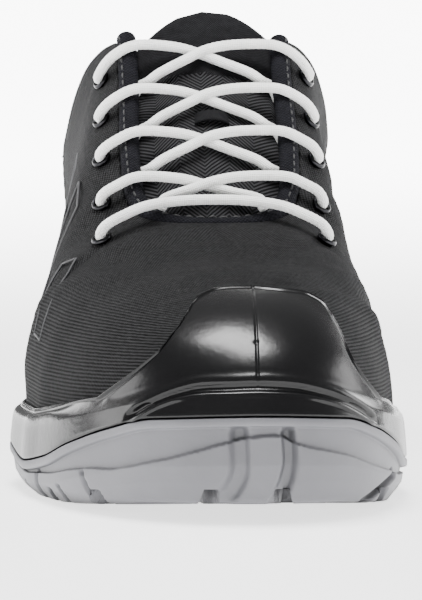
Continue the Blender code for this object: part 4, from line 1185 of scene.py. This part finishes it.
class SNEAKER_OT_midsole(bpy.types.Operator):
    """Makes the black midsole with its rand and toe guard"""

    bl_idname = "sneaker.midsole"
    bl_label = "Midsole"

    def execute(self, context):
        finishes = [finish("polyurethane")]
        add_piece("midsole_dressed", midsole_mesh(), finishes, ["midsole"])
        return {"FINISHED"}


class SNEAKER_OT_upper(bpy.types.Operator):
    """Makes the woven upper with its wall, prints, collar padding and seams"""

    bl_idname = "sneaker.upper"
    bl_label = "Upper"

    def execute(self, context):
        mesh = upper_mesh()
        finishes = [finish("upper"), finish("lining")]
        upper = add_piece("upper_dressed", mesh, finishes, ["upper"])
        open_eyelets(mesh)
        wall = upper.modifiers.new("wall", "SOLIDIFY")
        wall.thickness = UPPER_WALL
        wall.offset = -1
        wall.use_even_offset = False
        wall.material_offset = 1
        add_piece("quarter_prints", band_mesh(), [finish("print")])
        padding = add_piece("collar_padding", collar_mesh(), [finish("lining")])
        add_piece("upper_seams", seam_mesh(), [finish("thread")])
        return {"FINISHED"}


def open_eyelets(mesh):
    """Clears the upper's faces inside the eyelets' bores."""
    body = bmesh.new()
    body.from_mesh(mesh)
    centres = [Vector(seat[0]) for side in (-1, 1) for seat in eyelet_seats(side)]
    doomed = []
    for face in body.faces:
        middle = face.calc_center_median()
        if middle.z > 0.06 and any((middle - centre).length < EYELET_CUT for centre in centres):
            doomed.append(face)
    bmesh.ops.delete(body, geom=doomed, context="FACES")
    body.normal_update()
    highest = max(body.faces, key=lambda face: face.calc_center_median().x)
    if highest.normal.x < 0:
        bmesh.ops.reverse_faces(body, faces=body.faces)
    settle(body, mesh)


def seam_mesh():
    """Stitched seams of the collar and the heel counter, as a maker would run them."""
    lines = []
    last = turn_of(0.26)
    collar = np.linspace(-last, last, 160)
    lines.append((np.mod(collar, 2 * np.pi), 0.93))
    for side in (-1, 1):
        t = np.linspace(0, 1, 60)
        for shift in (0.0, 0.012):
            lines.append((around_of(side, 0.125 + shift + 0.10 * t ** 2), 0.86 - 0.66 * t))
    meshes = []
    for turn, share in lines:
        path = upper_point(turn, share, 0.00005)
        meshes.append(stitches("seam", path, rib_normal(turn, share), SEAM_RADIUS))
    return joined("upper_seams", meshes)


def band_mesh():
    """Thin raised outlines of the bands on the lateral quarter."""
    meshes = []
    for corners in BANDS:
        loop = list(corners) + [corners[0]]
        path = []
        for (place_a, share_a), (place_b, share_b) in zip(loop, loop[1:]):
            t = np.linspace(0, 1, 24, endpoint=False)
            turn = around_of(-1, place_a + (place_b - place_a) * t)
            path.append(upper_point(turn, share_a + (share_b - share_a) * t, -0.0001))
        path.append(path[0][:1])
        meshes.append(tube("band", np.vstack(path), BAND_RADIUS, sides=6))
    return joined("quarter_prints", meshes)


def collar_mesh():
    """Padded collar lining: a soft roll inside the collar's edge that thins downwards."""
    last = turn_of(STAY_BASE)
    around = np.concatenate((2 * np.pi - np.linspace(last, 0, 110), np.linspace(0, last, 110)[1:]))
    shares = np.linspace(1.0, 0.45, 36)
    turn, share = np.meshgrid(around, shares)
    fade = 1 - ease(0.85 * last, last, np.minimum(turn, 2 * np.pi - turn))
    depth = (1 - share) / 0.55
    thick = COLLAR_PADDING * np.sin(np.pi * np.clip(depth, 0, 1) ** 0.45) ** 0.8 + 0.0004
    thick = thick * (0.35 + 0.65 * fade)
    outer = upper_point(turn, share, -UPPER_WALL - LINING_GAP)
    inner = upper_point(turn, share, -UPPER_WALL - LINING_GAP - thick)
    points = np.concatenate((outer, inner[::-1]))
    points = np.concatenate((points, points[:1]))
    u = np.broadcast_to(toe_run(np.mod(around, 2 * np.pi)), points.shape[:2])
    v = np.broadcast_to(np.linspace(0, 0.06, len(points))[:, None], points.shape[:2])
    return bend("collar_padding", points, np.stack((u, v), axis=-1))


def throat_path(steps=90):
    """Middle of the throat's padded roll, its width and the upper's normal there."""
    first, last = turn_of(STAY_BASE), turn_of(THROAT_BASE)
    way = np.linspace(first, last, steps)
    around = np.concatenate((way, 2 * np.pi - way[-2::-1]))
    edge = rib_top(around)
    along = unit(np.gradient(edge, axis=0))
    normal = rib_normal(around, 0.98)
    inward = unit(np.cross(normal, along))
    width = 1 - 0.5 * (1 - BINDING_NARROW) * ease(0.635, 0.695, place_of(around)[0])
    reach = width * BINDING_DIAMETER / 2 + WALL_GAP * 0.3
    path = edge + inward * reach[:, None] - normal * UPPER_WALL / 2
    return path, width, normal


class SNEAKER_OT_binding(bpy.types.Operator):
    """Makes the padded roll round the throat and its stitches"""

    bl_idname = "sneaker.binding"
    bl_label = "Throat binding"

    def execute(self, context):
        path, width, normal = throat_path()
        even = smooth_run(path[::3], 0.0012)
        share = np.linspace(0, 1, len(even))
        widths = np.interp(share, np.linspace(0, 1, len(width)), width)
        ends = np.sqrt(np.clip(np.minimum(share, 1 - share) / 0.012, 0.02, 1.0))
        pucker = 1 + 0.03 * np.sin(share * 2 * np.pi * 46)
        radius = BINDING_DIAMETER / 2 * widths * ends * pucker
        mesh = tube("throat_binding_dressed", even, radius, sides=20)
        lining = [finish("lining")]
        add_piece("throat_binding_dressed", mesh, lining, ["throat_binding"])
        seam = path + normal * (BINDING_DIAMETER / 2 * width * 0.97)[:, None]
        rows = stitches("throat_stitches", seam[3:-3], normal[3:-3])
        add_piece("throat_stitches", rows, [finish("thread")])
        return {"FINISHED"}


def tongue_point(across, along):
    """Points of the tongue's upper face, its top edge arched to a blunt apex."""
    start, end = TONGUE[-1][0], TONGUE[0][0]
    arch = 0.12 * np.maximum(np.abs(across - 0.1) - 0.16, 0.0) ** 1.5
    reach = along * (1 - arch * ease(0.5, 1.0, along))
    place = start + (end - start) * reach
    height, half, lean = read_along(TONGUE, place)
    offset = across * half * (1 + 0.22 * ease(0.87, 0.97, along))
    drop = TONGUE_CROWN * (offset / (TONGUE_WIDTH / 2)) ** 2
    shift = rib_top(turn_of(THROAT_BASE))[0]
    return np.stack((shift + lean + offset, LENGTH * (0.5 - place) - 0.25 * drop, height - drop), axis=-1)


def tongue_normal(across, along):
    """Upward normals of the tongue's upper face."""
    step = 0.01
    side = tongue_point(across + step, along) - tongue_point(across - step, along)
    up = tongue_point(across, np.clip(along + step, 0, 1)) - tongue_point(across, np.clip(along - step, 0, 1))
    normal = unit(np.cross(side, up))
    return np.where(normal[..., 2:] < 0, -normal, normal)


def tongue_mesh():
    """Padded tongue: a crowned pad with rounded edges, its top patch a step thicker."""
    along = np.concatenate(([0.0], np.linspace(0.0, 1.0, 130), [1.0]))
    turn = np.linspace(0, 2 * np.pi, 97)
    cosine, sine = np.cos(turn), np.sin(turn)
    across = np.sign(cosine) * np.abs(cosine) ** 0.45
    level = np.sign(sine) * np.abs(sine) ** 0.55
    a, s = np.meshgrid(across, along)
    h = np.broadcast_to(level, a.shape)
    top = tongue_point(a, s)
    normal = tongue_normal(a, s)
    ends = np.sqrt(np.clip(np.minimum(s, 1 - s) / 0.02, 0.0, 1.0))
    ends[0] = ends[-1] = 0.0
    pad = TONGUE_THICKNESS / 2
    swell = 0.0004 * (1 - a ** 2)
    patch = PATCH_RISE * ease(0.775, 0.785, s) * (1 - ease(0.9, 1.0, np.abs(a)))
    lift = -pad + h * pad * ends + (swell + patch) * (h > 0)
    points = top + normal * lift[..., None]
    points[:, -1] = points[:, 0]
    half = TONGUE_WIDTH / 2
    uv = np.stack((a * half, s * 0.11), axis=-1)
    mesh = bend("tongue_dressed", points, uv)
    for polygon in mesh.polygons:
        if polygon.center.z > tongue_point(0.0, 0.78)[2] - 0.5 * (abs(polygon.center.x) / half) ** 2 * 0.01:
            polygon.material_index = 1
    return mesh


class SNEAKER_OT_tongue(bpy.types.Operator):
    """Makes the padded tongue and its lace keeper"""

    bl_idname = "sneaker.tongue"
    bl_label = "Tongue"

    def execute(self, context):
        finishes = [finish("herringbone"), finish("patch")]
        tongue = add_piece("tongue_dressed", tongue_mesh(), finishes, ["tongue"])
        a, r = np.meshgrid(np.linspace(-1, 1, 25), np.linspace(-0.5, 0.5, 7))
        s = KEEPER_PLACE + r * KEEPER_WIDTH
        hump = KEEPER_RISE * np.cos(a * np.pi / 2) ** 0.6 + 0.0003
        mid = tongue_point(0.02 + a * 0.20, s)
        normal = tongue_normal(0.02 + a * 0.20, s)
        upper = mid + normal * (hump + KEEPER_THICKNESS)[..., None]
        lower = mid + normal * hump[..., None]
        points = np.concatenate((upper, lower[::-1], upper[:1]))
        up = np.linspace(0, 0.012, len(points))[:, None]
        keeper = bend("lace_keeper", points, np.stack(np.broadcast_arrays(a[:1] * 0.005, up), axis=-1))
        add_piece("lace_keeper", keeper, [finish("patch")])
        return {"FINISHED"}


class SNEAKER_OT_insole(bpy.types.Operator):
    """Makes the fleece insole inside the upper"""

    bl_idname = "sneaker.insole"
    bl_label = "Insole"

    def execute(self, context):
        around = columns(INSOLE_COLUMNS, crowding=0.3)
        place, _ = place_of(around)
        footbed = read(LEVELS, place)[3] + SEAT_GAP
        inner = -(UPPER_WALL + WALL_GAP)
        rings = []
        side = ((0.0, 0.001), (0.05, 0.0), (0.4, 0.0), (0.75, 0.0), (0.93, 0.0008), (1.0, 0.002))
        for level, inset in side:
            height = footbed + level * INSOLE_THICKNESS
            ring = upper_point(around, share_at(around, height), inner)
            ring[:, :2] -= outward(around) * inset
            ring[:, 2] = height
            rings.append(ring)
        top = rings[-1]
        middle = spine(place, 0.10, 0.90)
        for share in np.linspace(0, 1, 16)[1:]:
            flat = top[:, :2] + (middle - top[:, :2]) * share
            dip = INSOLE_DIP * math.sin(math.pi * share / 2)
            height = level_under(flat, 3) + SEAT_GAP + INSOLE_THICKNESS - dip
            rings.append(np.column_stack((flat, height)))
        bottom = rings[0]
        floor = []
        for share in (1.0, 0.6, 0.3):
            flat = bottom[:, :2] + (middle - bottom[:, :2]) * share
            floor.append(np.column_stack((flat, level_under(flat, 3) + SEAT_GAP)))
        points = np.array(floor + rings)
        mesh = bend("insole_dressed", points, points[..., :2], merge=0.00002)
        insole = add_piece("insole_dressed", mesh, [finish("insole")], ["insole"])
        return {"FINISHED"}


def seat_at(side, from_heel, half):
    """Point of the upper a distance from the heel and from the throat's middle, with its normal."""
    place = from_heel / LENGTH
    middle = rib_top(turn_of(THROAT_BASE))[0]
    goal = LENGTH * (0.5 - place)
    share = 0.8
    for _ in range(12):
        around = around_of(side, place)
        low, high = 0.3, 1.0
        for _ in range(24):
            share = (low + high) / 2
            if side * (rib_point(around, share)[0] - middle) > half:
                low = share
            else:
                high = share
        place -= (goal - rib_point(around, share)[1]) / LENGTH
    return rib_point(around, share), rib_normal(around, share)


SEATS = {}


def eyelet_seats(side):
    """Centre and outward axis of each eyelet on one side, the top one first."""
    if side not in SEATS:
        SEATS[side] = []
        for k in range(EYELET_COUNT):
            row = EYELET_ROW_TOP + (EYELET_ROW_BOTTOM - EYELET_ROW_TOP) * k / (EYELET_COUNT - 1)
            SEATS[side].append(seat_at(side, FIRST_EYELET + k * EYELET_PITCH, row / 2))
    return SEATS[side]


class SNEAKER_OT_eyelets(bpy.types.Operator):
    """Makes the ten rolled eyelets"""

    bl_idname = "sneaker.eyelets"
    bl_label = "Eyelets"

    def execute(self, context):
        bore, barrel, flange = EYELET_BORE / 2, EYELET_BARREL / 2, EYELET_FLANGE / 2
        middle, half = (bore + flange) / 2, (flange - bore) / 2
        profile = []
        for angle in np.linspace(math.pi, 0, 11):
            rise = (EYELET_LIP + 0.0004) * math.sin(angle)
            profile.append((middle + half * math.cos(angle), 0.0003 + rise))
        profile += [(barrel, 0.0002), (barrel, -UPPER_WALL), (bore, -UPPER_WALL)]
        for side, word in ((-1, "lateral"), (1, "medial")):
            for k, (centre, axis) in enumerate(eyelet_seats(side)):
                body = bmesh.new()
                ring = [body.verts.new((radius, 0, height)) for radius, height in profile]
                for j in range(len(ring)):
                    body.edges.new((ring[j], ring[(j + 1) % len(ring)]))
                bmesh.ops.spin(
                    body, geom=body.verts[:] + body.edges[:], cent=(0, 0, 0), axis=(0, 0, 1),
                    angle=2 * math.pi, steps=32, use_merge=True,
                )
                bmesh.ops.remove_doubles(body, verts=body.verts, dist=0.000005)
                bmesh.ops.recalc_face_normals(body, faces=body.faces)
                turn = Vector((0, 0, 1)).rotation_difference(Vector(axis)).to_matrix().to_4x4()
                body.transform(Matrix.Translation(Vector(centre)) @ turn)
                mesh = settle(body, bpy.data.meshes.new("eyelet"))
                name = f"eyelet_{word}_{k + 1}"
                add_piece(f"{name}_dressed", mesh, [finish("steel")], [name])
        return {"FINISHED"}


def lace_frame(level):
    """Middle of an eyelet pair, the throat's upward and outward directions, and half its span."""
    left, right = eyelet_seats(-1), eyelet_seats(1)
    middles = [(a[0] + b[0]) / 2 for a, b in zip(left, right)]
    up = unit(middles[0] - middles[-1])
    half = (right[level][0][0] - left[level][0][0]) / 2
    return middles[level], up, np.cross(np.array((1.0, 0.0, 0.0)), up), half


def throat_beside(middle, up, along):
    """Point of the throat's lateral roll at a distance up the throat from an eyelet pair."""
    roll = throat_path(THROAT_STEPS)[0][:THROAT_STEPS]
    return min(roll, key=lambda point: abs((point - middle) @ up - along))


def lace_points(rows, level, mirror, sink):
    """A strand's points from its rows, mirrored, and sunk at the crossing."""
    middle, up, out, half = lace_frame(level)
    crest = (throat_beside(middle, up, 0.0) - middle) @ out
    points = []
    for share, along, lift, over in rows:
        low = sink * math.exp(-(share / 0.3) ** 2)
        point = middle + up * along + out * (lift + over * crest - low)
        point[0] += mirror * share * half
        points.append(point)
    return points


def strand_rows(level):
    """A crossing's rows, its start kept clear of the binding beside it and below it."""
    middle, up, _, half = lace_frame(level)
    lowest = (throat_path(THROAT_STEPS)[0][THROAT_STEPS - 1] - middle) @ up + START_ROOM
    start, first = STRAND[0][:2]
    shift = max(lowest - first, 0.0)
    beside = throat_beside(middle, up, first + shift)
    room = middle[0] - beside[0] - (BINDING_DIAMETER + LACE_DIAMETER) / 2 - WALL_GAP
    return [
        (max(share, -room / half), along + shift * (1 - ease(start, 0.1, share)), lift, over)
        for share, along, lift, over in STRAND
    ]


def through_eyelet(side, level, inwards):
    """Points of the lace through an eyelet, from outside to inside or back."""
    centre, axis = eyelet_seats(side)[level]
    edge = np.array((-side, 0.0, 0.0))
    points = [
        centre + axis * 0.0024 + edge * 0.0006,
        centre + axis * 0.0004,
        centre - axis * 0.0030 + edge * 0.0006,
    ]
    return points if inwards else points[::-1]


def lace_path():
    """The whole lace: from one top eyelet down to the bar, and up to the other top eyelet."""
    halves = []
    for side in (-1, 1):
        points = []
        at = side
        for level in range(EYELET_COUNT - 1, 0, -1):
            points += through_eyelet(at, level, True)
            rows = strand_rows(level - 1)
            strand = lace_points(rows, level - 1, -at, 0.0 if at < 0 else UNDERPASS)
            axis = eyelet_seats(at)[level][1]
            under = strand[0] + np.array((at * 0.0052, 0.0, 0.0)) - axis * 0.0032
            points.append((points[-1] + under) / 2 - axis * 0.0012)
            points.append(under)
            points += strand
            at = -at
        points += through_eyelet(at, 0, True)
        centre, axis = eyelet_seats(at)[0]
        points.append(centre - axis * 0.0045 - np.array((at * 0.004, 0.0, 0.004)))
        halves.append(points)
    rows = [(-row[0], *row[1:]) for row in BAR[:0:-1]] + list(BAR)
    bar = lace_points(rows, EYELET_COUNT - 1, 1, 0.0)
    return smooth_run(halves[0][::-1] + bar + halves[1], LACE_STEP)


class SNEAKER_OT_lace(bpy.types.Operator):
    """Runs one braided lace through the eyelets"""

    bl_idname = "sneaker.lace"
    bl_label = "Lace"

    def execute(self, context):
        diameter = context.scene.sneaker.lace_diameter
        path = lace_path()

        def braid(turn, length):
            """Relief of the yarns that cross on the cord."""
            rise = length * 2 * math.pi / BRAID_PITCH
            return BRAID_DEPTH * np.sin(4 * turn + rise) * np.sin(4 * turn - rise)

        mesh = tube("lace", path, diameter / 2, sides=20, relief=braid)
        nodes = ["lace_bar"] + [f"lace_crossing_{level + 1}" for level in range(EYELET_COUNT - 1)]
        add_piece("lace", mesh, [finish("lace")], nodes)
        print(f"lace length {distances(path)[-1]:.4f} m")
        return {"FINISHED"}


class SNEAKER_OT_stage(bpy.types.Operator):
    """Sets up the floor, the lights and the camera"""

    bl_idname = "sneaker.stage"
    bl_label = "Stage"

    def execute(self, context):
        sizes = context.scene.sneaker
        body = bmesh.new()
        bmesh.ops.create_grid(body, x_segments=8, y_segments=8, size=9.0)
        mesh = settle(body, bpy.data.meshes.new("floor"))
        # White floor: smooth, so it mirrors the sole a little. Its emission is a painted glow that stands in
        # for the backdrop's light, weak near the shoe so that the shade round it stays
        sheet, tree, shader = new_material("white floor with painted glow rising away from the shoe", {
            "Roughness": 0.3,
            "Base Color": (*sizes.floor_colour, 1.0),
            "Emission Color": (1.0, 1.0, 1.0, 1.0),
        })
        # Painted glow: the floor's emission rises from 1.8 near the shoe to 9.0 over a metre away
        place = add_node(tree, "TexCoord", {}).outputs["Object"]
        away = add_node(tree, "VectorMath", {0: place}, operation="LENGTH").outputs["Value"]
        ranges = {"Value": away, "From Min": 0.22, "From Max": 1.2, "To Min": 1.8, "To Max": 9.0}
        glow = add_node(tree, "MapRange", ranges, interpolation_type="SMOOTHSTEP")
        tree.links.new(glow.outputs[0], shader.inputs["Emission Strength"])
        mesh.materials.append(sheet)
        floor = bpy.data.objects.new("floor", mesh)
        context.scene.collection.objects.link(floor)
        world = bpy.data.worlds.new("studio")
        context.scene.world = world
        world.use_nodes = True
        sky = world.node_tree.nodes["Background"]
        sky.inputs["Color"].default_value = (1.0, 1.0, 1.0, 1.0)
        sky.inputs["Strength"].default_value = 0.34
        # Lights: name, place, what each points at, width, height, power
        vamp, middle = (0.0, -0.10, 0.0), (0.0, -0.05, 0.05)
        lights = (
            ("left", (-0.80, 0.02, 0.24), middle, 0.36, 0.46, sizes.side_light),
            ("right", (0.80, 0.06, 0.26), middle, 0.36, 0.46, sizes.side_light),
            ("top", (-0.06, -0.14, 0.95), vamp, 0.56, 0.34, sizes.top_light),
            ("back_left", (-0.75, 0.75, 0.42), middle, 0.50, 0.34, sizes.back_light),
            ("back_right", (0.75, 0.75, 0.42), middle, 0.50, 0.34, sizes.back_light),
        )
        for name, place, target, width, height, power in lights:
            lamp = bpy.data.lights.new(name, "AREA")
            lamp.shape = "RECTANGLE"
            lamp.size = width
            lamp.size_y = height
            lamp.energy = power
            holder = bpy.data.objects.new(name, lamp)
            context.scene.collection.objects.link(holder)
            aim = Vector(target) - Vector(place)
            holder.rotation_euler = aim.to_track_quat("-Z", "Y").to_euler()
            holder.location = place
        lens = bpy.data.cameras.new("camera")
        lens.sensor_width = SENSOR_WIDTH
        lens.lens = LENS_PIXELS / PICTURE_HEIGHT * SENSOR_WIDTH
        lens.clip_end = 50
        camera = bpy.data.objects.new("camera", lens)
        context.scene.collection.objects.link(camera)
        azimuth, elevation = (math.radians(angle) for angle in CAMERA_DEGREES)
        back = Vector((
            math.sin(azimuth) * math.cos(elevation),
            -math.cos(azimuth) * math.cos(elevation),
            math.sin(elevation),
        ))
        across = Vector((math.cos(azimuth), math.sin(azimuth), 0))
        turn = Matrix((across, back.cross(across), back)).transposed().to_4x4()
        # The point over the vamp that the camera looks at
        target = Vector((-0.00118 - MIDDLE, -0.060, 0.05319))
        camera.matrix_world = Matrix.Translation(target + back * CAMERA_DISTANCE) @ turn
        context.scene.camera = camera
        return {"FINISHED"}


class SNEAKER_PT_panel(bpy.types.Panel):
    """Lists the sneaker's sizes and operators"""

    bl_idname = "SNEAKER_PT_panel"
    bl_label = "Safety sneaker"
    bl_space_type = "VIEW_3D"
    bl_region_type = "UI"
    bl_category = "Sneaker"

    def draw(self, context):
        for name in SNEAKER_PG_sizes.__annotations__:
            self.layout.prop(context.scene.sneaker, name)
        for operator in OPERATORS:
            self.layout.operator(operator.bl_idname)


OPERATORS = (
    SNEAKER_OT_stage,
    SNEAKER_OT_outsole,
    SNEAKER_OT_midsole,
    SNEAKER_OT_upper,
    SNEAKER_OT_binding,
    SNEAKER_OT_tongue,
    SNEAKER_OT_insole,
    SNEAKER_OT_eyelets,
    SNEAKER_OT_lace,
)
CLASSES = (SNEAKER_PG_sizes, *OPERATORS, SNEAKER_PT_panel)


def register():
    for kind in CLASSES:
        bpy.utils.register_class(kind)
    bpy.types.Scene.sneaker = bpy.props.PointerProperty(type=SNEAKER_PG_sizes)


def unregister():
    del bpy.types.Scene.sneaker
    for kind in reversed(CLASSES):
        bpy.utils.unregister_class(kind)


def main():
    register()
    bpy.ops.sneaker.stage()
    bpy.ops.sneaker.outsole()
    bpy.ops.sneaker.midsole()
    bpy.ops.sneaker.upper()
    bpy.ops.sneaker.binding()
    bpy.ops.sneaker.tongue()
    bpy.ops.sneaker.insole()
    bpy.ops.sneaker.eyelets()
    bpy.ops.sneaker.lace()


if __name__ == "__main__":
    main()
